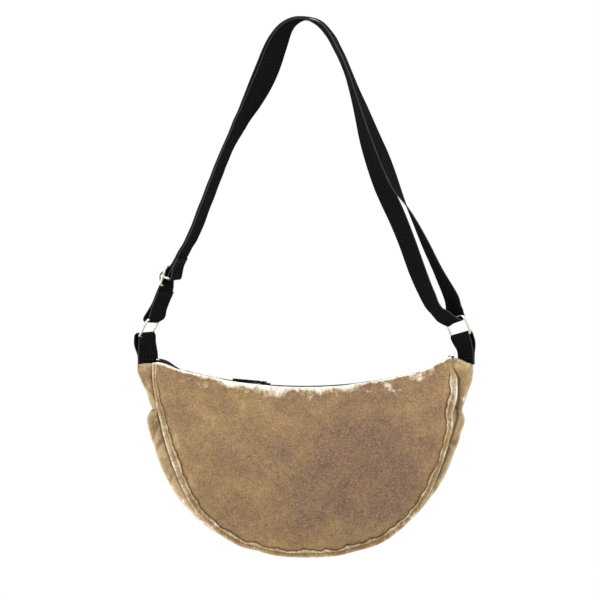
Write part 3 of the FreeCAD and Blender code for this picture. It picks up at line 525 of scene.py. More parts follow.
# Gusset: one long band of the same velvet from the left corner under the bag to the right one. It is sewn to
# both panels, bulges between the seams, and has a soft fold across it below each boxed top end.
GUSSET_BULGE, SKIN, LAYER_GAP = 21.0, 1.5, 0.3
GUSSET_SHARES = [
    (0, 1.06, 0.90), (4, 1.05, 0.86), (8, 1.00, 0.72), (12, 0.88, 0.48), (16, 0.75, 0.25), (22, 0.93, 0.12),
    (28, 0.91, 0.10), (36, 0.86, 0.08), (44, 0.79, 0.08), (52, 0.71, 0.08), (60, 0.62, 0.09),
    (68, 0.50, 0.10), (76, 0.38, 0.12), (83, 0.32, 0.14), (90, 0.29, 0.15),
]
# The band's top ends turn in: how far inside the band, and how far below its top.
TOP_FOLD = [(2.4, 2.6), (2.0, 1.2), (1.4, 0.35), (0.7, 0.0), (0.2, 0.2)]
GUSSET_COLUMNS, GUSSET_ROWS = 380, 52
# The soft fold below each top end, and the cloth that stands up on its two sides: how much, where, how wide.
FOLD_RUN, FOLD_DEPTH, FOLD_WIDTH, RIGHT_FOLD_SHARE = 46.0, 3.4, 3.2, 0.65
FOLD_FAR_SIDE, FOLD_NEAR_SIDE = (2.2, 9.0, 7.0), (0.9, -8.0, 6.0)
# Painted highlight beside each fold and painted shade in it: how much, where and how wide. Then painted
# highlight along the band's ends and how wide it is, and painted shadow on the band just outside the flange:
# how dark and how wide.
FOLD_HIGHLIGHT, FOLD_CREASE_SHADE = (0.5, -2.0, 2.5), (0.9, 0.6, 1.1)
END_HIGHLIGHT, END_WIDTH, SEAM_SHADE, SEAM_SHADE_WIDTH = 0.7, 2.5, 0.9, 1.7
BAND_BROAD_DENT, BAND_SMALL_DENT = 0.9, 0.45
LEFT_END_SUNK, LOW_SIDES_SUNK = (4.2, 30.0, 15.0), (3.4, 64.0, 17.0)
# Painted highlights on the band: angle along the seam, share of the way across, how far each way, and
# how much.
BAND_HIGHLIGHTS = [(50, 0.38, 12, 0.16, 1.2), (166, 0.36, 5, 0.12, 0.9)]
# Slanting creases across the band: where each leaves the front seam, and how far it runs down from there.
GUSSET_FOLDS = [(52, 60), (73, 34), (104, 46), (150, 70), (372, -60), (418, -34), (447, -52), (490, -30)]
SLANT_DEPTH = 1.7


def gusset_shape(angle):
    angle = min(angle, 180 - angle)
    for (a0, b0, c0), (a1, b1, c1) in zip(GUSSET_SHARES, GUSSET_SHARES[1:]):
        if angle <= a1:
            t = (angle - a0) / (a1 - a0)
            return b0 + (b1 - b0) * t, c0 + (c1 - c0) * t
    return GUSSET_SHARES[-1][1:]


def gusset_half(seam, out):
    depths = []
    for reach in (0, FLANGE_WIDTH):
        radius = (seam + out * reach - Vector((0, 0, AXIS_Z))).length
        depths.append(half_depth(max(radius, ZIP_RADIUS), SKIN))
    return min(depths) - LAYER_GAP


def gusset_section(angle, half, inside, share):
    # A lip beside each seam and an arc between: how far out and how far back at this share of the way across.
    bulge, lip_share = gusset_shape(angle)
    lip = GUSSET_BULGE * bulge * lip_share
    rise = max(GUSSET_BULGE * bulge - inside - lip, 0.5)
    radius = (half * half + rise * rise) / (2 * rise)
    sweep = 2 * math.atan2(half, radius - rise)
    walk = share * (2 * lip + radius * sweep)
    if walk < lip:
        return walk, -half, 0.0, -1.0
    if walk > lip + radius * sweep:
        return 2 * lip + radius * sweep - walk, half, 0.0, 1.0
    turn = (walk - lip) / radius - sweep / 2
    reach = lip + rise - radius + radius * math.cos(turn)
    return reach, radius * math.sin(turn), math.cos(turn), math.sin(turn)


def gusset_place(inside, seed, folds):
    ends = len(TOP_FOLD)
    first_run = 0.6

    def place(i, j):
        share = j / GUSSET_ROWS
        inset = drop = 0.0
        if i < ends:
            run, (inset, drop) = first_run, TOP_FOLD[i]
        elif i > ends + GUSSET_COLUMNS:
            run, (inset, drop) = SEAM_LENGTH - first_run, TOP_FOLD[2 * ends + GUSSET_COLUMNS - i]
        else:
            run = first_run + (SEAM_LENGTH - 2 * first_run) * (i - ends) / GUSSET_COLUMNS
        seam, out = seam_frame(run)
        angle = seam_angle(run)
        end = min(run, SEAM_LENGTH - run)
        half = gusset_half(seam, out) - inside
        reach, back, lean_out, lean_back = gusset_section(angle, half, inside, share)
        middle = math.sin(math.pi * share) ** 0.6
        on_right = run > SEAM_LENGTH / 2
        past = end - FOLD_RUN - 2.5 * wavering(share * 3, seed, on_right)
        fold = swell(past, *FOLD_FAR_SIDE) + swell(past, *FOLD_NEAR_SIDE)
        fold -= FOLD_DEPTH * math.exp(-abs(past) / FOLD_WIDTH)
        dent = BAND_BROAD_DENT * wavering(run / 24, share * 2.2, seed)
        dent += BAND_SMALL_DENT * wavering(run / 8, share * 3.5, seed)
        height = folds * middle * (fold * (RIGHT_FOLD_SHARE if on_right else 1.0) + dent)
        sunk = swell(run, *LEFT_END_SUNK) + swell(min(angle, 180 - angle), *LOW_SIDES_SUNK)
        height -= inset + middle * sunk
        # Painted highlight: beside the fold, along the ends, in loose patches, along the band's crest and in
        # the listed places.
        painted_highlight = swell(past, *FOLD_HIGHLIGHT) * (0.6 + wavering(share * 6, run / 5, seed))
        painted_highlight += END_HIGHLIGHT * (end < END_WIDTH)
        painted_highlight += 0.6 * max(0.0, wavering(run / 13, share * 3, seed + 2)) * eased(10, 60, end)
        painted_highlight += 0.5 * hump(share, 0.5, 0.22) * (0.5 + wavering(run / 10, share * 2, seed + 4))
        painted_highlight += patches(BAND_HIGHLIGHTS, angle, share) * (0.7 + wavering(run / 5, share * 5, seed))
        flange_edge = FLANGE_WIDTH * min(1.0, flange_share(angle)) + 0.8 + 2.0 * eased(95, 125, angle)
        # Painted shade in the fold, and painted shadow on the band beside the flange's edge.
        crease_shade = swell(past, *FOLD_CREASE_SHADE) * middle * folds
        crease_shade += swell(reach, SEAM_SHADE, flange_edge, SEAM_SHADE_WIDTH) * eased(3, 16, end)
        for place_run, slant in GUSSET_FOLDS:
            line = run - place_run - slant * share + 3 * wavering(share * 5, place_run)
            faint = hump(share, 0.22, 0.16) * folds
            # Each slanting crease is dented in, with painted shade in it and painted highlight beside it.
            height -= SLANT_DEPTH * hump(line, 0, 4.0) * faint
            crease_shade += 0.5 * hump(line, 0, 2.6) * faint
            painted_highlight += 0.5 * hump(line, -6, 3.5) * faint
        tint_mark = 0.8 + 0.9 * wavering(run / 16, share * 3, seed + 7) + 0.6 * wavering(run / 6, share * 7, seed)
        spot = seam + out * (reach + height * lean_out)
        spot.y = back + height * lean_back
        spot.z -= drop
        return settled(spot), (run * MM, share * 2 * half * MM), (max(0.0, painted_highlight), crease_shade, tint_mark)

    return place


bag_band = cloth_grid(
    GUSSET_COLUMNS + 2 * len(TOP_FOLD), GUSSET_ROWS, gusset_place(0.0, 4.4, 1.0), MIDDLE)
bag_band = finished("velvet_gusset", bag_band, velvet, "bag", ["gusset_band"])
thickened(bag_band, CLOTH_THICKNESS)

# Corner covers: the velvet band's ends at the two top corners, turned in and closed round the webbing tabs.
# Each is a small soft cap that is pressed down beside its tab and sewn in with it.
COVER_ROWS, COVER_COLUMNS = 18, 28
COVER_MARGIN, COVER_CROWN, COVER_DROP = 1.3, 1.6, 1.2
TAB_REACH, TAB_PRESS, TAB_TURN = 12.0, 0.9, {-1: 61.0, 1: 31.0}


def cover_place(side, seed):
    seam, out = seam_frame(0.0)
    half = gusset_half(seam, out)
    bulge, lip_share = gusset_shape(0)
    lip, crest = GUSSET_BULGE * bulge * lip_share, GUSSET_BULGE * bulge
    rise = crest - lip
    radius = (half * half + rise * rise) / (2 * rise)

    def place(i, j):
        across, reach = 2 * i / COVER_COLUMNS - 1, j / COVER_ROWS
        outward = reach * (crest - COVER_MARGIN)
        wide = half if outward < lip else math.sqrt(max(radius ** 2 - (outward + radius - crest) ** 2, 0.0))
        back = across * max(wide - COVER_MARGIN, 0.4)
        crown = COVER_CROWN * (1 - across ** 4) * (1 - reach ** 6) * (1 - (1 - reach) ** 6)
        crown += 0.5 * wavering(outward / 6, back / 6, seed)
        turn = math.radians(TAB_TURN[side])
        near_tab = abs((outward - TAB_REACH) * math.cos(turn) + back * math.sin(turn))
        crown -= TAB_PRESS * math.exp(-near_tab / 1.6)
        spot = Vector((side * (CORNER_HALF + outward), back, TOP_Z - COVER_DROP + crown))
        # Painted highlight in loose patches, and painted shade where the cap is pressed in beside the tab.
        painted_highlight = 0.5 + 0.6 * wavering(outward / 4, back / 4, seed)
        marks = (max(0.0, painted_highlight), 0.5 * math.exp(-near_tab / 1.4), 0.0)
        return settled(spot), (outward * MM, back * MM), marks

    return place


for side, seed, node in ((-1, 2.2, "left_corner_cover"), (1, 6.1, "right_corner_cover")):
    cap = cloth_grid(COVER_COLUMNS, COVER_ROWS, cover_place(side, seed), MIDDLE)
    cap = thickened(finished("velvet_" + node, cap, velvet, "bag", [node]), CLOTH_THICKNESS)

# Lining: thin plain-woven cloth behind the two panels and the band, sewn in with them and hanging a little
# slack inside the bag.
def node_group(name, inputs, outputs):
    group = bpy.data.node_groups.new(name, "ShaderNodeTree")
    for socket in inputs:
        kind = "NodeSocketVector" if socket == "Vector" else "NodeSocketFloat"
        group.interface.new_socket(socket, in_out="INPUT", socket_type=kind)
    for socket in outputs:
        group.interface.new_socket(socket, in_out="OUTPUT", socket_type="NodeSocketFloat")
    return group, group.nodes.new("NodeGroupInput").outputs, group.nodes.new("NodeGroupOutput").inputs


weave, given, put = node_group("plain_weave", ("Vector", "Along", "Across", "Slant"), ("Height", "Fibre"))
thread_spot = add_node(weave, "SeparateXYZ", {0: given["Vector"]}).outputs
along = reckon(weave, "MULTIPLY", thread_spot[0], given["Along"])
across = reckon(weave, "MULTIPLY", thread_spot[1], given["Across"])
slanted = reckon(weave, "MULTIPLY_ADD", reckon(weave, "PINGPONG", across, 2.0), given["Slant"], along)
over = reckon(weave, "SINE", reckon(weave, "MULTIPLY", slanted, 2 * math.pi))
under = reckon(weave, "SINE", reckon(weave, "MULTIPLY", across, 2 * math.pi))
height = reckon(weave, "MULTIPLY_ADD", reckon(weave, "MULTIPLY", over, under), 0.35, 0.5)
height = reckon(weave, "MULTIPLY_ADD", over, 0.1, height)
height = reckon(weave, "MULTIPLY_ADD", under, 0.18, height)
fibre = mottled(weave, given["Vector"], 900.0, 3.0)
weave.links.new(height, put["Height"])
weave.links.new(fibre, put["Fibre"])


def woven_finish(name, dark, light, along, across, slant, depth, contrast=2.1, edge_highlight=None, **sockets):
    finish, tree, shader = new_finish(name, **sockets)
    flat = add_node(tree, "TexCoord").outputs["UV"]
    threads = add_node(tree, "Group", {}, node_tree=weave)
    tree.links.new(flat, threads.inputs["Vector"])
    for key, value in (("Along", along), ("Across", across), ("Slant", slant)):
        threads.inputs[key].default_value = value
    level = reckon(tree, "MULTIPLY", threads.outputs["Height"], threads.outputs["Fibre"])
    level = reckon(tree, "MULTIPLY_ADD", level, contrast, 0.4 - 0.28 * contrast, clamp=True)
    colour = mixed(tree, level, dark, light)
    # Painted highlight: a pale line along both edges of the cloth.
    if edge_highlight:
        aside = reckon(tree, "ABSOLUTE", add_node(tree, "SeparateXYZ", {0: flat}).outputs[1])
        edge, edge_colour, sharp = *edge_highlight, 1600.0
        aside = reckon(tree, "MULTIPLY_ADD", aside, sharp, -sharp * edge, clamp=True)
        colour = mixed(tree, aside, colour, edge_colour)
    tree.links.new(colour, shader.inputs["Base Color"])
    raised = reckon(tree, "MULTIPLY_ADD", threads.outputs["Fibre"], 0.35, threads.outputs["Height"])
    bump = add_node(tree, "Bump", {"Strength": 0.6, "Distance": depth, "Height": raised}).outputs[0]
    tree.links.new(bump, shader.inputs["Normal"])
    return finish


lining_cloth = woven_finish(
    "lining_cloth", srgb(20, 20, 21), srgb(46, 45, 44), 1600.0, 1600.0, 0.0, 0.00008, Roughness=0.75)
LINING_DEPTH, LINING_THICKNESS, LINING_TOP, LINING_SEAM = 1.8, 0.5, 3.2, 1.4
LINING_MARGIN, LINING_TOP_SHARE, SLACK, SLACK_UNEVEN = 0.02, 0.94, 2.4, 2.0
LINING_COLUMNS, LINING_ROWS = 160, 44
BAND_LINING_SKIPS = 12


def lining_place(side, seed):
    zip_axis = Vector((0, 0, AXIS_Z))

    def place(i, j):
        run = SEAM_LENGTH * (LINING_MARGIN + (1 - 2 * LINING_MARGIN) * i / LINING_COLUMNS)
        seam, out = seam_frame(run)
        top_angle = math.radians(CORNER_ANGLE * LINING_TOP_SHARE * (2 * i / LINING_COLUMNS - 1))
        over = Vector((math.sin(top_angle), 0, -math.cos(top_angle)))
        top = zip_axis + over * (ZIP_RADIUS + LINING_TOP)
        spot = (seam - out * LINING_SEAM).lerp(top, j / LINING_ROWS)
        radius = max((spot - zip_axis).length, ZIP_RADIUS)
        slack = eased(2, 25, radius - ZIP_RADIUS) * eased(0, 0.2, j / LINING_ROWS)
        sag = LINING_DEPTH + slack * (SLACK + SLACK_UNEVEN * wavering(spot.x / 26, spot.z / 60, seed))
        spot.y = side * (half_depth(radius) - sag)
        return settled(spot), (spot.x * MM, spot.z * MM), (0.0, 0.0, 0.0)

    return place


for side, seed, node in ((-1, 3.1, "front_lining"), (1, 9.4, "back_lining")):
    lined = cloth_grid(LINING_COLUMNS, LINING_ROWS, lining_place(side, seed), Vector((0, side * 200, -460)))
    lined = finished("cloth_" + node, lined, lining_cloth, "bag", [node])
    thickened(lined, LINING_THICKNESS)
band_place = gusset_place(LINING_DEPTH, 4.4, 1.0)
lined_columns = GUSSET_COLUMNS - 2 * BAND_LINING_SKIPS


def band_lining_place(i, j):
    # The lining band leaves out the velvet band's turned-in ends.
    return band_place(len(TOP_FOLD) + BAND_LINING_SKIPS + round(lined_columns * i / LINING_COLUMNS), j)


lined = cloth_grid(LINING_COLUMNS, GUSSET_ROWS, band_lining_place, Vector((0, 0, -2000)))
lined = finished("cloth_gusset_lining", lined, lining_cloth, "bag", ["gusset_lining"])
thickened(lined, LINING_THICKNESS)

# Zip chain: two woven tapes sewn under the panels' hems, a moulded coil along the edge of each, a bent metal
# stop on each tape at the left end and one stop across both at the right end.
TAPE_TOP, TAPE_THICKNESS, CHAIN_SPLIT = 1.0, 0.7, 0.5
TOOTH_PITCH, TOOTH_LENGTH, COIL_WIDTH, COIL_TOP = 1.5, 0.95, 2.5, 0.8
TOOTH_ROUND, TAPE_STEPS, TAPE_RIPPLE = 0.3, 150, 0.15
TAPE_PAST, TOP_STOP_PAST, COIL_SHARE, BOTTOM_STOP_SHARE = 2.0, 1.6, 0.955, 0.985
# The chain's ends are caught in the corner seams and stand up there. Before the left end it dips, which
# leaves room for the pull, and the back tape's outer edge stands up over the hem: how far, and between which
# angles. That tape also lies a little aside there: how far, at which angle and how wide.
LEFT_END_UP, RIGHT_END_UP, LEFT_DIP = (5.6, 17.7, 18.1), (2.4, 16.6, 17.6), (3.0, 14.2, 17.4)
BACK_EDGE_UP, BACK_TAPE_ASIDE = (5.0, 14.0, 17.3), (1.6, -17.0, 1.3)
zip_tape = woven_finish(
    "zip_tape_black", srgb(9, 9, 10), srgb(40, 40, 43), 1300.0, 1300.0, 1.0, 0.00012,
    Roughness=0.8, Specular_IOR_Level=0.2)
zip_coil, tree, shader = new_finish("zip_coil_black", Specular_IOR_Level=0.4)
specks = mottled(tree, add_node(tree, "TexCoord").outputs["Object"], 700.0)
tree.links.new(mixed(tree, specks, srgb(10, 10, 11), srgb(34, 34, 36)), shader.inputs["Base Color"])
tree.links.new(reckon(tree, "MULTIPLY_ADD", specks, 0.3, 0.25), shader.inputs["Roughness"])


def stepped(value, level, low, high):
    return level * eased(low, high, value)


def chain_lift(angle):
    return stepped(-angle, *LEFT_END_UP) - stepped(-angle, *LEFT_DIP) + stepped(angle, *RIGHT_END_UP)


def edge_lift(angle, side):
    return stepped(-angle, *BACK_EDGE_UP) if side > 0 else 0.0


def chain_frame(angle):
    turn = math.radians(angle)
    along = Vector((math.cos(turn), 0, math.sin(turn)))
    up = Vector((-math.sin(turn), 0, math.cos(turn)))
    return Vector((0, 0, AXIS_Z)) - up * (ZIP_RADIUS - chain_lift(angle)), along, up


def swept(bm, stations, section, closed=False):
    # Carries a closed section along stations of (centre, first axis, second axis, run), with its place on the
    # cloth kept for every corner, and caps the ends.
    steps = len(stations) if closed else len(stations) - 1
    around = len(section)
    cloth = bm.loops.layers.uv.verify()
    made = bmesh.ops.create_grid(bm, x_segments=steps, y_segments=around, size=0.5)["verts"]
    spots = {v: (round((v.co.x + 0.5) * steps), round((v.co.y + 0.5) * around)) for v in made}
    faces = {f for v in made for f in v.link_faces}
    for f in faces:
        for loop in f.loops:
            i, j = spots[loop.vert]
            run = stations[i % len(stations)][3]
            loop[cloth].uv = (run * MM, section[j % around][0] * MM)
    for v, (i, j) in spots.items():
        centre, first, second, _ = stations[i % len(stations)]
        w, n = section[j % around]
        v.co = (centre + first * w + second * n) * MM
    bmesh.ops.remove_doubles(bm, verts=made, dist=1e-7)
    if not closed:
        bmesh.ops.holes_fill(bm, edges=[e for e in bm.edges if e.is_boundary], sides=0)
    bmesh.ops.recalc_face_normals(bm, faces=bm.faces[:])
    return bm


def flat_section(low, high, half_thick, corner):
    return [
        (low + corner, half_thick), (high - corner, half_thick), (high, half_thick - corner),
        (high, corner - half_thick), (high - corner, -half_thick), (low + corner, -half_thick),
        (low, corner - half_thick), (low, half_thick - corner)]


def rounded(bm, radius, segments=2, edges=None):
    bmesh.ops.bevel(
        bm, geom=edges or bm.edges[:], offset=radius * MM, offset_type="OFFSET", affect="EDGES",
        segments=segments, profile=0.5, material=-1)
    return bm


tape_edge = half_depth(ZIP_RADIUS + TAPE_TOP, SKIN) - LAYER_GAP
tape_angle = math.degrees(math.asin((CORNER_HALF + TAPE_PAST) / ZIP_RADIUS))
coil_angle, stop_angle = CORNER_ANGLE * COIL_SHARE, CORNER_ANGLE * BOTTOM_STOP_SHARE
tooth_step = math.degrees(TOOTH_PITCH / ZIP_RADIUS)
for side, name in ((-1, "front"), (1, "back")):
    stations = []
    for k in range(TAPE_STEPS + 1):
        angle = tape_angle * (2 * k / TAPE_STEPS - 1)
        origin, along, up = chain_frame(angle)
        ripple = TAPE_RIPPLE * wavering(angle * 1.3, side)
        centre = origin - up * (TAPE_TOP + TAPE_THICKNESS / 2 - ripple)
        tilt = math.asin((edge_lift(angle, side) - chain_lift(angle)) / tape_edge)
        outward = Vector((0, side * math.cos(tilt), 0)) + up * math.sin(tilt)
        if side > 0:
            centre.y += swell(angle, *BACK_TAPE_ASIDE)
        stations.append((centre, outward, up, math.radians(angle) * ZIP_RADIUS))
    strip = swept(bmesh.new(), stations, flat_section(CHAIN_SPLIT, tape_edge, TAPE_THICKNESS / 2, 0.2))
    strip = finished(name + "_tape", settle(strip), zip_tape, "bag", [name + "_zip_tape"])
    teeth = bmesh.new()
    count = int(2 * coil_angle / tooth_step)
    for k in range(count):
        angle = -coil_angle + (k + (0.25 if side < 0 else 0.75)) * tooth_step
        origin, along, up = chain_frame(angle)
        middle = origin + up * ((COIL_TOP - TAPE_TOP) / 2 - 0.5 * max(0.0, chain_lift(angle)))
        middle.y = side * (CHAIN_SPLIT + COIL_WIDTH / 2)
        turn = Matrix((along, Vector((0, 1, 0)), up)).transposed().to_4x4()
        size = Matrix.Diagonal((TOOTH_LENGTH * MM, COIL_WIDTH * MM, (COIL_TOP + TAPE_TOP) * MM, 1.0))
        bmesh.ops.create_cube(teeth, size=1.0, matrix=Matrix.Translation(middle * MM) @ turn @ size)
    rounded(teeth, TOOTH_ROUND, 1)
    finished(name + "_coil", settle(teeth), zip_coil, "bag", [name + "_zip_coil"])

marked, given, put = node_group("handled_metal", ("Vector", "Smooth"), ("Marks", "Roughness"))
drawn = add_node(marked, "Mapping", {"Vector": given["Vector"], "Scale": (1.0, 1.0, 0.12)}).outputs[0]
scratch = mottled(marked, drawn, 1500.0, 3.0)
smear = mottled(marked, given["Vector"], 160.0)
both = reckon(marked, "MULTIPLY", scratch, smear)
marked.links.new(reckon(marked, "MULTIPLY_ADD", both, 2.4, -0.25, clamp=True), put["Marks"])
marked.links.new(reckon(marked, "MULTIPLY_ADD", both, 0.5, given["Smooth"]), put["Roughness"])


def metal_finish(name, clean, worn, smooth, **sockets):
    finish, tree, shader = new_finish(name, **sockets)
    handled = add_node(tree, "Group", {}, node_tree=marked)
    tree.links.new(add_node(tree, "TexCoord").outputs["Object"], handled.inputs["Vector"])
    handled.inputs["Smooth"].default_value = smooth
    tree.links.new(mixed(tree, handled.outputs["Marks"], clean, worn), shader.inputs["Base Color"])
    tree.links.new(handled.outputs["Roughness"], shader.inputs["Roughness"])
    return finish


bright_metal = metal_finish("plated_wire", srgb(236, 230, 220), srgb(176, 166, 150), 0.10, Metallic=1.0)
black_metal = metal_finish(
    "blackened_zip_metal", srgb(4, 4, 5), srgb(16, 16, 16), 0.45, Metallic=0.0, Specular_IOR_Level=0.12)
STOP_LENGTH, STOP_WIDTH, STOP_UNDER, STOP_OVER, STOP_CORNER = 3.0, 3.6, 0.75, 0.25, 0.5
STOP_END, STOP_END_SHARE = 0.3, 0.55


def bent_stop(bm, angle, low, high):
    origin, along, up = chain_frame(angle)
    section = flat_section(-STOP_UNDER, COIL_TOP + STOP_OVER, STOP_LENGTH / 2, STOP_CORNER)
    steps = ((low, STOP_END_SHARE), (low + STOP_END, 1.0), (high - STOP_END, 1.0), (high, STOP_END_SHARE))
    stations = [(origin + Vector((0, y, 0)), up * share, along, y) for y, share in steps]
    return swept(bm, stations, section)


end_angle = math.degrees(math.asin((CORNER_HALF + TOP_STOP_PAST) / ZIP_RADIUS))
stops = bent_stop(bmesh.new(), -end_angle, -STOP_WIDTH, -CHAIN_SPLIT)
stops = bent_stop(stops, -end_angle, CHAIN_SPLIT, STOP_WIDTH)
finished("top_stops", settle(stops), bright_metal, "bag", ["zip_top_stops"])
stops = bent_stop(bmesh.new(), stop_angle, -STOP_WIDTH, STOP_WIDTH)
finished("bottom_stop", settle(stops), bright_metal, "bag", ["zip_bottom_stop"])

# Hem stitching: a row of stitches in tan twisted thread along each panel's top edge. They go through the hem
# and the zip tape behind it, and hold the two together.
thread, tree, shader = new_finish("tan_thread", Roughness=0.6, Sheen_Weight=0.3)
ply = add_node(tree, "TexCoord").outputs["Object"]
ply = add_node(tree, "TexWave", {"Vector": ply, "Scale": 900.0, "Distortion": 2.0}, wave_type="BANDS",
               bands_direction="DIAGONAL").outputs[0]
tree.links.new(mixed(tree, ply, srgb(176, 148, 112), srgb(222, 202, 168)), shader.inputs["Base Color"])
bump = add_node(tree, "Bump", {"Strength": 0.5, "Distance": 0.0001, "Height": ply}).outputs[0]
tree.links.new(bump, shader.inputs["Normal"])
HEM_LINE, HEM_SHARE, STITCH_PITCH, STITCH_LENGTH, STITCH_SUNK = 5.0, 0.93, 3.4, 2.5, 0.5


def stitch(bm, middle, along, normal, length, width=0.55, height=0.45):
    across = normal.cross(along).normalized()
    turn = Matrix((along, across, normal)).transposed().to_4x4()
    size = Matrix.Diagonal((length * MM, width * MM, height * MM, 1.0))
    bmesh.ops.create_cube(bm, size=1.0, matrix=Matrix.Translation(middle * MM) @ turn @ size)


hem_turn = math.radians(CORNER_ANGLE * HEM_SHARE)
for side, name in ((-1, "front"), (1, "back")):
    row = bmesh.new()
    radius = ZIP_RADIUS + HEM_LINE
    slope = depth_slope(radius)
    for k in range(int(2 * hem_turn * radius / STITCH_PITCH)):
        turn = -hem_turn + (k + 0.5) * STITCH_PITCH / radius
        down = Vector((math.sin(turn), 0, -math.cos(turn)))
        along = Vector((math.cos(turn), 0, math.sin(turn)))
        normal = (Vector((0, side, 0)) - down * slope).normalized()
        middle = Vector((0, side * half_depth(radius), AXIS_Z)) + down * radius - normal * STITCH_SUNK
        stitch(row, settled(middle), along, normal, STITCH_LENGTH)
    finished(name + "_hem_stitches", rounded(row, 0.2, 1), thread, "bag")

# Zip slider and pull: a die-cast slider with a bridge on top, and a long flat pull that hangs on the bridge
# by its pin. Both are blackened.
SLIDER_X = 44.6
SLIDER_HALF_LENGTH, SLIDER_HALF_WIDTH, SLIDER_PLATE, SLIDER_GAP = 6.5, 4.8, 1.0, 0.35
BRIDGE_HALF_LENGTH, BRIDGE_HALF_WIDTH, BRIDGE_HEIGHT, BRIDGE_STRIP = 2.7, 1.0, 1.55, 0.45
PULL_BAR, PULL_BAR_HEIGHT, PULL_THICKNESS, PULL_ARM, PULL_EYE = 0.45, 0.55, 1.0, 1.2, 4.2
PULL_LENGTH, PULL_HALF_WIDTH, PULL_CRANK = 33.5, 3.2, 1.2
CAST_LAP, NECK_HALF, SLIDER_WALL, BRIDGE_OPEN = 0.2, 0.2, 1.1, 1.25
ARM_LAP, ARM_END, BLADE_OVER, BLADE_STEPS = 0.4, 0.7, 0.6, 8
slider_angle = -math.degrees(math.asin(SLIDER_X / ZIP_RADIUS))
slider_origin, slider_along, slider_up = chain_frame(slider_angle)
slider_origin = settled(slider_origin)
plate_low = COIL_TOP + SLIDER_GAP
plate_top = plate_low + SLIDER_PLATE
keel_top = -TAPE_TOP - TAPE_THICKNESS - SLIDER_GAP
bar_height = plate_top + PULL_BAR_HEIGHT
BACK = Vector((0, 1, 0))


def on_slider(along, back, up):
    return (slider_origin + slider_along * along + BACK * back + slider_up * up) * MM


def slab(bm, outline, low, high):
    corners = [bm.verts.new(on_slider(a, b, low)) for a, b in outline]
    top = bmesh.ops.extrude_face_region(bm, geom=[bm.faces.new(corners)])["geom"]
    bmesh.ops.translate(
        bm, verts=[v for v in top if isinstance(v, bmesh.types.BMVert)], vec=slider_up * ((high - low) * MM))


def box(bm, along, back, up):
    (a0, a1), (b0, b1) = along, back
    slab(bm, [(a0, b0), (a1, b0), (a1, b1), (a0, b1)], *up)


plan = [(-1.0, -0.55), (-0.75, -0.75), (0.2, -1.0), (0.8, -0.95), (1.0, -0.7),
        (1.0, 0.7), (0.8, 0.95), (0.2, 1.0), (-0.75, 0.75), (-1.0, 0.55)]
plan = [(a * SLIDER_HALF_LENGTH, b * SLIDER_HALF_WIDTH) for a, b in plan]
wall_in = CHAIN_SPLIT + COIL_WIDTH + SLIDER_GAP
slider = bmesh.new()
slab(slider, plan, plate_low, plate_top)
slab(slider, plan, keel_top - SLIDER_PLATE, keel_top)
box(slider, (SLIDER_HALF_LENGTH / 2, SLIDER_HALF_LENGTH), (-NECK_HALF, NECK_HALF),
    (keel_top - CAST_LAP, plate_low + CAST_LAP))
for side in (-1, 1):
    low, high = sorted((side * wall_in, side * (wall_in + SLIDER_WALL)))
    box(slider, (-SLIDER_HALF_LENGTH / 2, SLIDER_HALF_LENGTH / 2), (low, high),
        (SLIDER_GAP - TAPE_TOP, plate_low + CAST_LAP))
bridge_top = plate_top + BRIDGE_HEIGHT
for side in (-1, 1):
    low, high = sorted((side * BRIDGE_OPEN, side * BRIDGE_HALF_LENGTH))
    box(slider, (low, high), (-BRIDGE_HALF_WIDTH, BRIDGE_HALF_WIDTH),
        (plate_top - CAST_LAP, bridge_top - CAST_LAP))
box(slider, (-BRIDGE_HALF_LENGTH, BRIDGE_HALF_LENGTH), (-BRIDGE_HALF_WIDTH, BRIDGE_HALF_WIDTH),
    (bridge_top - BRIDGE_STRIP, bridge_top))
bmesh.ops.recalc_face_normals(slider, faces=slider.faces[:])
finished("slider_body", rounded(slider, 0.18), black_metal, "slider", ["zip_slider_body"])

arm_in = BRIDGE_HALF_WIDTH + SLIDER_GAP
arm_out = arm_in + PULL_ARM
blade_tip = PULL_HALF_WIDTH - PULL_LENGTH
pull = bmesh.new()
low, high = bar_height - PULL_THICKNESS / 2, bar_height + PULL_THICKNESS / 2
for side in (-1, 1):
    near, far = sorted((side * arm_in, side * arm_out))
    box(pull, (-PULL_EYE - ARM_LAP, ARM_END), (near, far), (low, high))
low, high = low - PULL_CRANK, high + BLADE_OVER
blade = [(-PULL_EYE, -arm_out), (-PULL_EYE, arm_out), (blade_tip, PULL_HALF_WIDTH)]
for k in range(1, BLADE_STEPS):
    turn = math.pi * k / BLADE_STEPS
    blade.append((blade_tip - PULL_HALF_WIDTH * math.sin(turn), PULL_HALF_WIDTH * math.cos(turn)))
slab(pull, blade + [(blade_tip, -PULL_HALF_WIDTH)], low, high)
bmesh.ops.recalc_face_normals(pull, faces=pull.faces[:])
rounded(pull, 0.3)
pin = Matrix((slider_along, slider_up, BACK)).transposed().to_4x4()
bmesh.ops.create_cone(
    pull, cap_ends=True, segments=20, radius1=PULL_BAR * MM, radius2=PULL_BAR * MM, depth=2 * arm_out * MM,
    matrix=Matrix.Translation(on_slider(0, 0, bar_height)) @ pin)
finished("pull_blade", pull, black_metal, "pull", ["zip_pull"])

# Rings: round wire bent to a rectangle, closed, and plated bright. One hangs in the strap's loop at each side
# and holds the webbing tab of the bag's corner.
WIRE_R, WIRE_SIDES, RING_REACH, RING_CORNER = 1.25, 20, 20.5, 3.2
RING_HALF_SPAN, RING_DROP, RING_LEAN, RING_TURN, RIGHT_TURN = 158.4, 312.2, 24.5, 29.0, 35.0
HALF_WEB, WEB_THICK = 12.5, 1.3
LEG_PLACE = HALF_WEB + 0.7 + WIRE_R


def webbing_axes(along, turn):
    inward = Vector((along.z, 0, -along.x))
    angle = math.radians(turn)
    across, over = math.cos(angle), math.sin(angle)
    return BACK * across + inward * over, inward * across - BACK * over


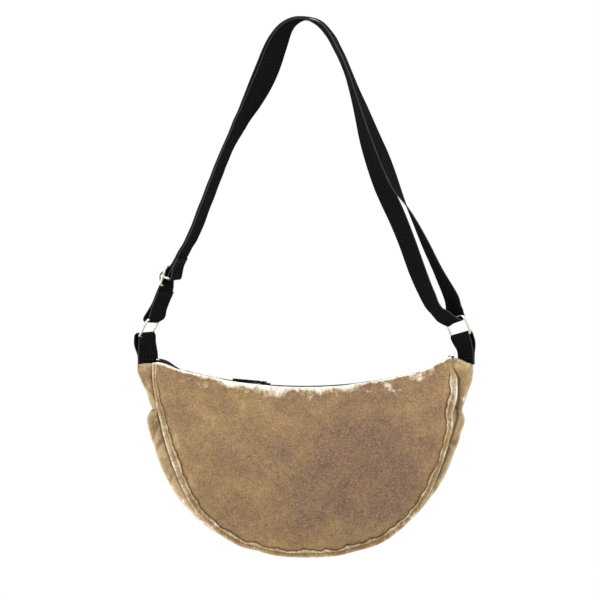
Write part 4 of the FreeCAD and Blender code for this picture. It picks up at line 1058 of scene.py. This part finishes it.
lean = math.radians(RING_LEAN)
UP_LEFT, UP_RIGHT = Vector((math.sin(lean), 0, math.cos(lean))), Vector((-math.sin(lean), 0, math.cos(lean)))
LEFT = (Vector((-RING_HALF_SPAN, 0, -RING_DROP)), *webbing_axes(UP_LEFT, RING_TURN), UP_LEFT)
RIGHT = (Vector((RING_HALF_SPAN, 0, -RING_DROP)), *webbing_axes(-UP_RIGHT, RIGHT_TURN), UP_RIGHT)


def at(frame, w, n, s):
    origin, wide, normal, along = frame
    return origin + wide * w + normal * n + along * s


def round_section(radius, count):
    turns = [2 * math.pi * k / count for k in range(count)]
    return [(radius * math.cos(turn), radius * math.sin(turn)) for turn in turns]


def wire_loop(bm, frame, half_width, half_height, corner):
    stations = []
    _, wide, normal, along = frame
    for start, cw, cs in ((0, 1, 1), (90, -1, 1), (180, -1, -1), (270, 1, -1)):
        for k in range(10):
            turn = math.radians(start + 10 * k)
            spoke = wide * math.cos(turn) + along * math.sin(turn)
            centre = at(frame, cw * (half_width - corner), 0, cs * (half_height - corner)) + spoke * corner
            stations.append((centre, spoke, normal, 0.0))
    return swept(bm, stations, round_section(WIRE_R, WIRE_SIDES), closed=True)


# How far to the left the strap's left side hangs off its line, by height.
LEFT_SWAY = [
    (5, -2.0), (-42, -1.8), (-75, -2.1), (-92, -2.3), (-109, -4.2), (-134, -5.8), (-150, -5.3),
    (-167, -4.2), (-192, -2.6), (-217, -0.8), (-230, -0.8), (-242, -2.6), (-259, -3.8), (-276, -3.4),
    (-293, -2.4), (-309, -2.2), (-400, -2.2),
]
LOW_SKEW, SKEW_ENDS, FAR_EDGE_UP, FAR_EDGE_ENDS, SWAY_FROM = 0.27, (55, 120), 4.0, (0, 12), (0, 45)
RIGHT_IN, RING_LESS_IN, RING_ACROSS, RING_UP = 3.5, 1.5, (138, 150), (-308, -284)


def swayed(spot):
    # The strap does not hang true: its left side bows, its near edge hangs lower there than its far edge, and
    # the right ring is drawn in a little.
    if spot.x > 0:
        drawn_in = RIGHT_IN - RING_LESS_IN * eased(*RING_ACROSS, spot.x)
        return spot - Vector((drawn_in * (1 - eased(*RING_UP, spot.z)), 0, 0))
    aside = LEFT_SWAY[0][1]
    for (high, first), (low, second) in zip(LEFT_SWAY, LEFT_SWAY[1:]):
        aside += (second - first) * (1 - eased(low, high, spot.z))
    away = spot - LEFT[0]
    reach = away.dot(UP_LEFT)
    across = away.dot(LEFT[1])
    drop = LOW_SKEW * across * (1 - eased(*SKEW_ENDS, reach))
    drop += FAR_EDGE_UP * eased(4, HALF_WEB, across) * (1 - eased(*FAR_EDGE_ENDS, reach))
    return spot + Vector((aside * eased(*SWAY_FROM, -spot.x), 0, 0)) + UP_LEFT * drop


def hung(bm):
    for v in bm.verts:
        v.co = swayed(v.co / MM) * MM
    return bm


low_bar = (LEFT[1] + UP_LEFT * LOW_SKEW).normalized()
low_leg = (UP_LEFT - BACK * (low_bar.dot(UP_LEFT) / low_bar.y)).normalized()
HANGING = {
    "left": (swayed(LEFT[0]), low_bar, low_bar.cross(low_leg).normalized(), low_leg),
    "right": (swayed(RIGHT[0]), *RIGHT[1:])}
for name, frame_at in HANGING.items():
    middle = (at(frame_at, 0, 0, -RING_REACH / 2), *frame_at[1:])
    ring = wire_loop(bmesh.new(), middle, LEG_PLACE, RING_REACH / 2, RING_CORNER)
    finished(name + "_wire_ring", ring, bright_metal, "ring_" + name, [name + "_ring"])

# Strap webbing: one long length of ribbed black webbing. It is sewn round the left ring, runs up through the
# adjuster and over the top, turns round the right ring and comes back inside as a second layer.
RIBS, RIB_POINTS, RIB_DEPTH, EDGE_IN, EDGE_ROUND, STEP_LEAST = 11, 4, 0.16, 0.4, 0.1, 0.35
LOOP_MIDDLE, TAIL_TAPER, TAIL_FLAP, RUN_LENGTH = 3.65, 14.0, 32.0, 195.8
LOOP_LEG, LOOP_SPREAD, LOOP_ASLANT, RIGHT_LOOP = 9.0, 55.0, 6.0, 4.5
KNEE_SHARE = 5.0 / 6.0
# Each layer's way over the top: how far across and down it is, as shares of where the straight run ends on
# the left and of the ring's place on the right, and how far it is turned.
INNER_LEFT_SHARES = [
    (0.790, 0.729, 45), (0.677, 0.605, 57), (0.568, 0.478, 66), (0.479, 0.353, 66),
    (0.422, 0.2585, 62), (0.354, 0.164, 53), (0.273, 0.0785, 38), (0.157, 0.0185, 19),
]
INNER_RIGHT_SHARES = [
    (0.057, 0.006, 1), (0.109, 0.026, 2), (0.158, 0.060, 1), (0.188, 0.090, 0),
    (0.227, 0.126, 1), (0.271, 0.180, 1), (0.305, 0.235, 4), (0.335, 0.289, 8),
    (0.364, 0.3435, 14), (0.394, 0.398, 21), (0.428, 0.452, 26), (0.467, 0.507, 31),
    (0.513, 0.561, 38), (0.566, 0.616, 42), (0.615, 0.670, 40), (0.680, 0.752, 38), (0.737, 0.833, 38),
    (0.800, 0.910, 33), (0.864, 0.962, 22),
]
OUTER_RIGHT_SHARES = [
    (0.056, -0.005, -6), (0.106, 0.009, -11), (0.143, 0.029, -14), (0.188, 0.060, -16),
    (0.218, 0.090, -16), (0.254, 0.126, -16), (0.297, 0.180, -17), (0.339, 0.235, -20),
    (0.381, 0.289, -26), (0.424, 0.3435, -30), (0.467, 0.398, -34), (0.512, 0.452, -37),
    (0.557, 0.507, -35), (0.602, 0.561, -28), (0.664, 0.616, -10), (0.721, 0.670, 1),
    (0.799, 0.752, 10), (0.875, 0.833, 14), (0.955, 0.912, 25), (0.992, 0.950, 29),
]
PATH_STEPS = 6
SLIDE_GAP, CROWN_GAP = 0.3, 1.8
RUNNING_N, RETURN_N = -WEB_THICK / 2, SLIDE_GAP + WEB_THICK / 2


def smooth_rows(rows, steps):
    ends = [[2 * a - b for a, b in zip(rows[0], rows[1])], [2 * a - b for a, b in zip(rows[-1], rows[-2])]]
    held = [ends[0]] + [list(r) for r in rows] + [ends[1]]
    result = []
    for i in range(1, len(held) - 2):
        for k in range(steps):
            t = k / steps
            row = []
            for a, b, c, d in zip(*held[i - 1:i + 3]):
                bent = (2 * a - 5 * b + 4 * c - d) * t * t + (3 * b - a - 3 * c + d) * t * t * t
                row.append(b + 0.5 * ((c - a) * t + bent))
            result.append(row)
    return result + [list(rows[-1])]


def path_places(rows):
    result = []
    for i, (x, z, turn) in enumerate(rows):
        before, after = rows[max(i - 1, 0)], rows[min(i + 1, len(rows) - 1)]
        along = Vector((after[0] - before[0], 0, after[1] - before[1])).normalized()
        wide, normal = webbing_axes(along, turn)
        result.append((Vector((x, 0, z)), wide, normal))
    return result


def share_rows(shares):
    return [(across * RING_HALF_SPAN, -down * RING_DROP, turn) for across, down, turn in shares]


def straight(frame, from_n, from_s, to_n, to_s, steps):
    return [
        (at(frame, 0, from_n + (to_n - from_n) * k / steps, from_s + (to_s - from_s) * k / steps), frame[1])
        for k in range(steps + 1)]


def twisted(frame, turn):
    origin, wide, normal, along = frame
    angle = math.radians(turn)
    return (origin, wide * math.cos(angle) + normal * math.sin(angle),
            normal * math.cos(angle) - wide * math.sin(angle), along)


def half_turn(frame, radius, start, stop, steps, n=0.0, s=0.0):
    result = []
    for k in range(steps + 1):
        turn = math.radians(start + (stop - start) * k / steps)
        result.append((at(frame, 0, n + radius * math.cos(turn), s + radius * math.sin(turn)), frame[1]))
    return result


def webbing_section(half_width, half_thick):
    face = []
    count, reach = RIBS * RIB_POINTS, half_width - EDGE_IN
    for k in range(count + 1):
        rib = abs(math.sin(math.pi * k / RIB_POINTS)) ** 0.7
        face.append((-reach + 2 * reach * k / count, half_thick - RIB_DEPTH + RIB_DEPTH * rib))
    edge = [(half_width - EDGE_ROUND, side * 0.3 * half_thick) for side in (1, -1)]
    return face + edge + [(-w, -n) for w, n in face] + [(-w, -n) for w, n in edge]


def webbing_stations(path, eased_passes):
    kept = [path[0]]
    for spot, wide in path[1:]:
        if (spot - kept[-1][0]).length > STEP_LEAST:
            kept.append((spot, wide))
    spots, wides = [p for p, _ in kept], [w for _, w in kept]
    for _ in range(eased_passes):
        spots = [spots[0]] + [
            (spots[k - 1] + spots[k] * 2 + spots[k + 1]) / 4 for k in range(1, len(spots) - 1)] + [spots[-1]]
    stations, run = [], 0.0
    for k, (spot, wide) in enumerate(zip(spots, wides)):
        tangent = (spots[min(k + 1, len(spots) - 1)] - spots[max(k - 1, 0)]).normalized()
        wide = (wide - tangent * wide.dot(tangent)).normalized()
        if k:
            run += (spot - spots[k - 1]).length
        stations.append((spot, wide, tangent.cross(wide), run))
    return stations


def web_along(path, eased_passes=4):
    stations = webbing_stations(path, eased_passes)
    return swept(bmesh.new(), stations, webbing_section(HALF_WEB, WEB_THICK / 2))


# The webbing's pale lines along both edges are painted highlight.
black_webbing = woven_finish(
    "ribbed_black_webbing", srgb(0, 0, 0), srgb(44, 44, 45), 430.0, 440.0, 1.0, 0.0006, 5.0,
    (0.0117, srgb(74, 74, 76)), Roughness=0.85, Specular_IOR_Level=0.04)
run_top = at(LEFT, 0, RETURN_N, RUN_LENGTH)
run_knee = at(LEFT, 0, RETURN_N, RUN_LENGTH * KNEE_SHARE)
inner_rows = [(run_knee.x, run_knee.z, RING_TURN), (run_top.x, run_top.z, RING_TURN)]
inner_rows += [(across * run_top.x, down * run_top.z, turn) for across, down, turn in INNER_LEFT_SHARES]
inner_rows += [(0.0, WEB_THICK / 2, 0.0)] + share_rows(INNER_RIGHT_SHARES)
inner = path_places(smooth_rows(inner_rows, PATH_STEPS)[PATH_STEPS + 1:])
OUTER_FORWARD = (2.4, -55.0, 45.0)
leg = math.radians(LOOP_SPREAD)
inner_leg = Vector((RIGHT_LOOP * math.cos(leg), -RIGHT_LOOP * math.sin(leg)))
inner_leg += Vector((math.sin(leg), math.cos(leg))) * LOOP_LEG
left_inner = [p for p in inner if p[0].x < 0]
outer_left = []
for k, (spot, wide, normal) in enumerate(left_inner):
    share = min(1.0, (k + 1) / (len(left_inner) / 2))
    gap = RETURN_N - RUNNING_N + (CROWN_GAP - RETURN_N + RUNNING_N) * share
    outer_left.append((spot - normal * gap - wide * swell(spot.z, *OUTER_FORWARD), wide))
outer_rows = [(0.0, WEB_THICK / 2 + CROWN_GAP, 0.0)] + share_rows(OUTER_RIGHT_SHARES)
outer_right = [(spot, wide) for spot, wide, _ in path_places(smooth_rows(outer_rows, PATH_STEPS))]
# The left end is twisted up to the tail's end, and the running layer stands out in a lobe above it.
LOW_TWIST, TWIST_OUT, LOBE, RUN_STEPS = 14.0, (TAIL_FLAP - 6, 58), (8.6, 49.0, 5.2), 72
low_end = twisted(LEFT, LOW_TWIST)
strap_path = straight(low_end, WEB_THICK / 2, TAIL_FLAP, WEB_THICK / 2, TAIL_TAPER, 5)
strap_path += straight(low_end, WEB_THICK / 2, TAIL_TAPER, LOOP_MIDDLE, 0, 5)
strap_path += half_turn(low_end, LOOP_MIDDLE, 360, 180, 12)
strap_path += straight(low_end, -LOOP_MIDDLE, 0, RUNNING_N, TAIL_TAPER, 5)
for k in range(1, RUN_STEPS + 1):
    s = TAIL_TAPER + (RUN_LENGTH - TAIL_TAPER) * k / RUN_STEPS
    here = twisted(LEFT, LOW_TWIST * (1 - eased(*TWIST_OUT, s)))
    strap_path.append((at(here, 0, RUNNING_N - swell(s, *LOBE), s), here[1]))
strap_path += outer_left + outer_right
strap_path.append((at(RIGHT, 0, -RIGHT_LOOP, LOOP_LEG), RIGHT[1]))
strap_path += half_turn(RIGHT, RIGHT_LOOP, 180, 360 - LOOP_SPREAD, 12)
strap_path.append((at(RIGHT, LOOP_ASLANT, inner_leg.x, inner_leg.y), RIGHT[1]))
strap_path += [(spot, wide) for spot, wide, _ in reversed(inner)]
strap_path.append((run_top, LEFT[1]))
finished("strap_webbing", hung(web_along(strap_path)), black_webbing, "strap",
         ["strap_tail", "strap_running_layer", "strap_ring_loop", "strap_return_layer"])

# Sewn stretch and end loop: the last of the same webbing, straight down to the adjuster, round its centre bar
# and sewn back on itself.
ADJUSTER_HEIGHT, BAR_OVER, SLIDE_TRAVEL = 44.5, 4.0, 90.0
END_LENGTH, END_TAPER, END_FLAP, END_GAP, WRAP_MIDDLE = 25.0, 12.0, 22.0, 0.5, 2.1
END_N = RETURN_N + END_GAP
BAR_N = END_N + WRAP_MIDDLE
FLAP_N = END_N + WEB_THICK
stretch_low = ADJUSTER_HEIGHT + END_LENGTH
stretch_path = straight(LEFT, RETURN_N, RUN_LENGTH, END_N, stretch_low, 40)
stretch = hung(web_along(stretch_path, 0))
stretch = finished("sewn_stretch", stretch, black_webbing, "strap", ["strap_sewn_stretch"])
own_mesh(stretch)
bar_s = ADJUSTER_HEIGHT + BAR_OVER
end_path = straight(LEFT, END_N, stretch_low, END_N, bar_s, 8)
end_path += half_turn(LEFT, WRAP_MIDDLE, 180, 360, 10, BAR_N, bar_s)
end_path += straight(LEFT, BAR_N + WRAP_MIDDLE, bar_s, FLAP_N, bar_s + END_TAPER, 5)
end_path += straight(LEFT, FLAP_N, bar_s + END_TAPER, FLAP_N, bar_s + END_FLAP, 4)
finished("end_loop", hung(web_along(end_path, 2)), black_webbing, "adjuster", ["strap_end_loop"])

# Bar tacks: dense zigzag stitches in black thread across the webbing, where it is sewn back on itself. One
# holds the strap's tail over the left ring, and one its end over the adjuster's centre bar.
black_thread, tree, shader = new_finish("black_thread", Roughness=0.6, Specular_IOR_Level=0.15)
ply = mottled(tree, add_node(tree, "TexCoord").outputs["Object"], 1600.0)
tree.links.new(mixed(tree, ply, srgb(5, 5, 6), srgb(26, 26, 27)), shader.inputs["Base Color"])
TACK_HALF, TACK_STITCHES, TACK_SLANT, TACK_LIFT, TACK_ROUND = 10.0, 16, 0.9, 0.12, 0.15
TAIL_TACK, END_TACK = (26.6, 29.6), (16.6, 19.6)


def bar_tack(bm, frame, n, low, high, facing):
    _, wide, normal, along = frame
    for k in range(TACK_STITCHES):
        w = -TACK_HALF + (k + 0.5) * 2 * TACK_HALF / TACK_STITCHES
        slant = (along * (high - low) + wide * (TACK_SLANT if k % 2 else -TACK_SLANT)).normalized()
        stitch(bm, at(frame, w, n, (low + high) / 2), slant, normal * facing, high - low, 0.6, 0.4)
    return bm


tail_tack = hung(bar_tack(bmesh.new(), low_end, WEB_THICK + TACK_LIFT, *TAIL_TACK, 1))
finished("tail_tack", rounded(tail_tack, TACK_ROUND, 1), black_thread, "strap",
         ["strap_tail_stitching"])
end_low, end_high = (bar_s + place for place in END_TACK)
end_tack = hung(bar_tack(bmesh.new(), LEFT, FLAP_N + WEB_THICK / 2 + TACK_LIFT, end_low, end_high, 1))
finished("end_tack", rounded(end_tack, TACK_ROUND, 1), black_thread, "adjuster",
         ["strap_end_stitching"])

# Adjuster: a wire frame outside the running layer, and a centre bar inside it whose ends turn out and close
# as an eyelet round each leg of the frame.
ADJUSTER_LEG, ADJUSTER_INSIDE, FRAME_N = HALF_WEB + 1.4 + WIRE_R, 18.0, -2.85
EYELET_LENGTH, EYELET_RADIUS, EYELET_ROUND, BAR_BEND, BAR_END = 3.4, 2.35, 0.5, 1.4, 0.8
tipped = (LEFT[1] + UP_LEFT * LOW_SKEW).normalized()
adjuster_at = (swayed(at(LEFT, 0, 0, bar_s)), tipped, LEFT[2], LEFT[2].cross(tipped).normalized())
frame_plane = (at(adjuster_at, 0, FRAME_N, 0), *adjuster_at[1:])
loop = wire_loop(bmesh.new(), frame_plane, ADJUSTER_LEG, (ADJUSTER_INSIDE + 2 * WIRE_R) / 2, RING_CORNER)
finished("adjuster_wire", loop, bright_metal, "adjuster", ["adjuster_frame"])
bar_path = []
for side in (-1, 1):
    knee = [(side * ADJUSTER_LEG, FRAME_N + BAR_END)]
    for turn in range(0, 91, 15):
        curl = math.radians(turn)
        bent_in, bent_up = BAR_BEND * (math.cos(curl) - 1), BAR_BEND * (math.sin(curl) - 1)
        knee.append((side * (ADJUSTER_LEG + bent_in), BAR_N + bent_up))
    bar_path += knee if side < 0 else knee[::-1]
bar_stations = []
for k, (w, n) in enumerate(bar_path):
    (w0, n0), (w1, n1) = bar_path[max(k - 1, 0)], bar_path[min(k + 1, len(bar_path) - 1)]
    tangent = (tipped * (w1 - w0) + LEFT[2] * (n1 - n0)).normalized()
    bar_stations.append((at(adjuster_at, w, n, 0), adjuster_at[3], tangent.cross(adjuster_at[3]), 0.0))
bar = swept(bmesh.new(), bar_stations, round_section(WIRE_R, WIRE_SIDES))
for side in (-1, 1):
    turned = Matrix(adjuster_at[1:]).transposed().to_4x4()
    round_leg = Matrix.Translation(at(frame_plane, side * ADJUSTER_LEG, 0, 0) * MM) @ turned
    eyelet = bmesh.ops.create_cone(
        bar, cap_ends=True, segments=28, radius1=EYELET_RADIUS * MM, radius2=EYELET_RADIUS * MM,
        depth=EYELET_LENGTH * MM, matrix=round_leg)
    rims = [e for e in {e for v in eyelet["verts"] for e in v.link_edges} if e.calc_face_angle(0) > 1.0]
    rounded(bar, EYELET_ROUND, 3, rims)
finished("adjuster_centre_bar", bar, bright_metal, "adjuster", ["adjuster_bar"])

# Tabs: a short length of webbing over each ring's lower bar, folded, twisted a little and sewn into the
# bag's top corner.
TAB_SEWN, TAB_BURIED, TAB_OPEN, TAB_BOW, TAB_STEPS, TAB_TACK = 11.0, 1.8, 1.1, 1.2, 10, (2.6, 5.2)


def across_tab(side, turn):
    angle = math.radians(turn)
    return Vector((-side * math.sin(angle), math.cos(angle), 0))


tacks = bmesh.new()
for side, name, seat_reach, seat_turn, top_turn in (
        (-1, "left", 11.5, 61.0, 48.0), (1, "right", 14.6, 32.0, 43.0)):
    lower = at(HANGING[name], 0, 0, -RING_REACH)
    down = Vector((0, 0, -1))
    top_wide = across_tab(side, top_turn)
    top_wide.z = HANGING[name][1].z
    top_wide.normalize()
    tab_up = (-down + top_wide * down.dot(top_wide)).normalized()
    top = (lower, top_wide, tab_up.cross(top_wide) * side, tab_up)
    seat_wide = across_tab(side, seat_turn)
    seat_low = Vector((side * (CORNER_HALF + seat_reach), 0, TOP_Z - TAB_BURIED))
    seat = (seat_low, seat_wide, (-down).cross(seat_wide) * side, -down)

    def tab_leg(facing):
        result = straight(seat, facing * WEB_THICK / 2, 0, facing * WEB_THICK / 2, TAB_SEWN, 4)
        foot, head = at(seat, 0, facing * WEB_THICK / 2, TAB_SEWN), at(top, 0, facing * LOOP_MIDDLE, 0)
        for k in range(1, TAB_STEPS + 1):
            t = k / TAB_STEPS
            spot = foot.lerp(head, t) + top[2] * (facing * TAB_OPEN * math.sin(math.pi * t) ** 2)
            spot.x += side * TAB_BOW * math.sin(math.pi * t)
            result.append((spot, seat_wide.lerp(top_wide, eased(0, 1, t)).normalized()))
        return result

    tab_path = tab_leg(1) + half_turn(top, LOOP_MIDDLE, 0, 180, 12)[1:-1] + list(reversed(tab_leg(-1)))
    tab = web_along(tab_path, 3)
    tab = finished(name + "_webbing_tab", tab, black_webbing, None, [name + "_tab"])
    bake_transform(tab)
    bar_tack(tacks, seat, WEB_THICK + TACK_LIFT, TAB_BURIED + TAB_TACK[0], TAB_BURIED + TAB_TACK[1], 1)
finished("corner_tacks", rounded(tacks, TACK_ROUND, 1), black_thread, "bag", ["tab_bartacks"])

# Studio: the bag hangs over a plain pale floor in soft white light, seen a little from the left. A key lamp
# stands to the right, one hangs above, one fills from the left and a weak one lights the rim from behind.
FLOOR_DROP, FLOOR_RADIUS = 1.15, 2.6
ground = bmesh.new()
bmesh.ops.create_circle(ground, cap_ends=True, segments=96, radius=FLOOR_RADIUS,
                        matrix=Matrix.Translation((0, 0, -FLOOR_DROP)))
floor_mesh = bpy.data.meshes.new("floor")
ground.to_mesh(floor_mesh)
ground.free()
floor = bpy.data.objects.new("floor", floor_mesh)
bpy.context.scene.collection.objects.link(floor)
floor_paint, tree, shader = new_finish("floor_paint", Roughness=0.9, Specular_IOR_Level=0.1)
mottle = add_node(tree, "TexNoise", {"Scale": 3.0, "Detail": 2.0}).outputs[0]
tree.links.new(mixed(tree, mottle, srgb(236, 235, 232), srgb(244, 243, 241)), shader.inputs["Base Color"])
floor_mesh.materials.append(floor_paint)

world = bpy.data.worlds.new("studio")
bpy.context.scene.world = world
world.use_nodes = True
tree = world.node_tree
rays = add_node(tree, "LightPath").outputs
seen = reckon(tree, "MAXIMUM", rays["Is Glossy Ray"], rays["Is Transmission Ray"])
seen = reckon(tree, "MAXIMUM", rays["Is Camera Ray"], seen)
SKY_LIGHT = 0.58
sky = tree.nodes["Background"]
sky.inputs["Color"].default_value = (1.0, 1.0, 1.0, 1.0)
tree.links.new(reckon(tree, "MULTIPLY_ADD", seen, 1.0 - SKY_LIGHT, SKY_LIGHT), sky.inputs["Strength"])
LAMP_AIM = Vector((0, 0, -0.35))
for name, place, power, size in (
        ("key", (0.9, -1.3, 0.9), 14.5, 1.1), ("top", (0.25, -0.15, 1.3), 8.5, 0.9),
        ("fill", (-1.5, -0.9, -0.1), 9.0, 1.2), ("rim", (-1.2, 0.5, -1.0), 7.0, 0.8)):
    lamp = bpy.data.lights.new(name, "AREA")
    lamp.energy, lamp.size = power, size
    lamp_at = bpy.data.objects.new(name, lamp)
    lamp_at.location = place
    lamp_at.rotation_euler = (LAMP_AIM - Vector(place)).to_track_quat("-Z", "Y").to_euler()
    bpy.context.scene.collection.objects.link(lamp_at)

VIEW_AZIMUTH, VIEW_ELEVATION, VIEW_DISTANCE, VIEW_WIDTH = -8.0, 0.4, 5.0, 0.627
VIEW_CENTRE = Vector((-0.0067, 0.0, -0.2926))
camera = bpy.data.cameras.new("camera")
camera.sensor_width = 36.0
camera.lens = camera.sensor_width * VIEW_DISTANCE / VIEW_WIDTH
camera_at = bpy.data.objects.new("camera", camera)
azimuth, elevation = math.radians(VIEW_AZIMUTH), math.radians(VIEW_ELEVATION)
level = math.cos(elevation)
away = Vector((math.sin(azimuth) * level, -math.cos(azimuth) * level, math.sin(elevation)))
camera_at.location = VIEW_CENTRE + away * VIEW_DISTANCE
camera_at.rotation_euler = (-away).to_track_quat("-Z", "Y").to_euler()
bpy.context.scene.collection.objects.link(camera_at)
bpy.context.scene.camera = camera_at
bpy.context.scene.view_settings.view_transform = "Standard"
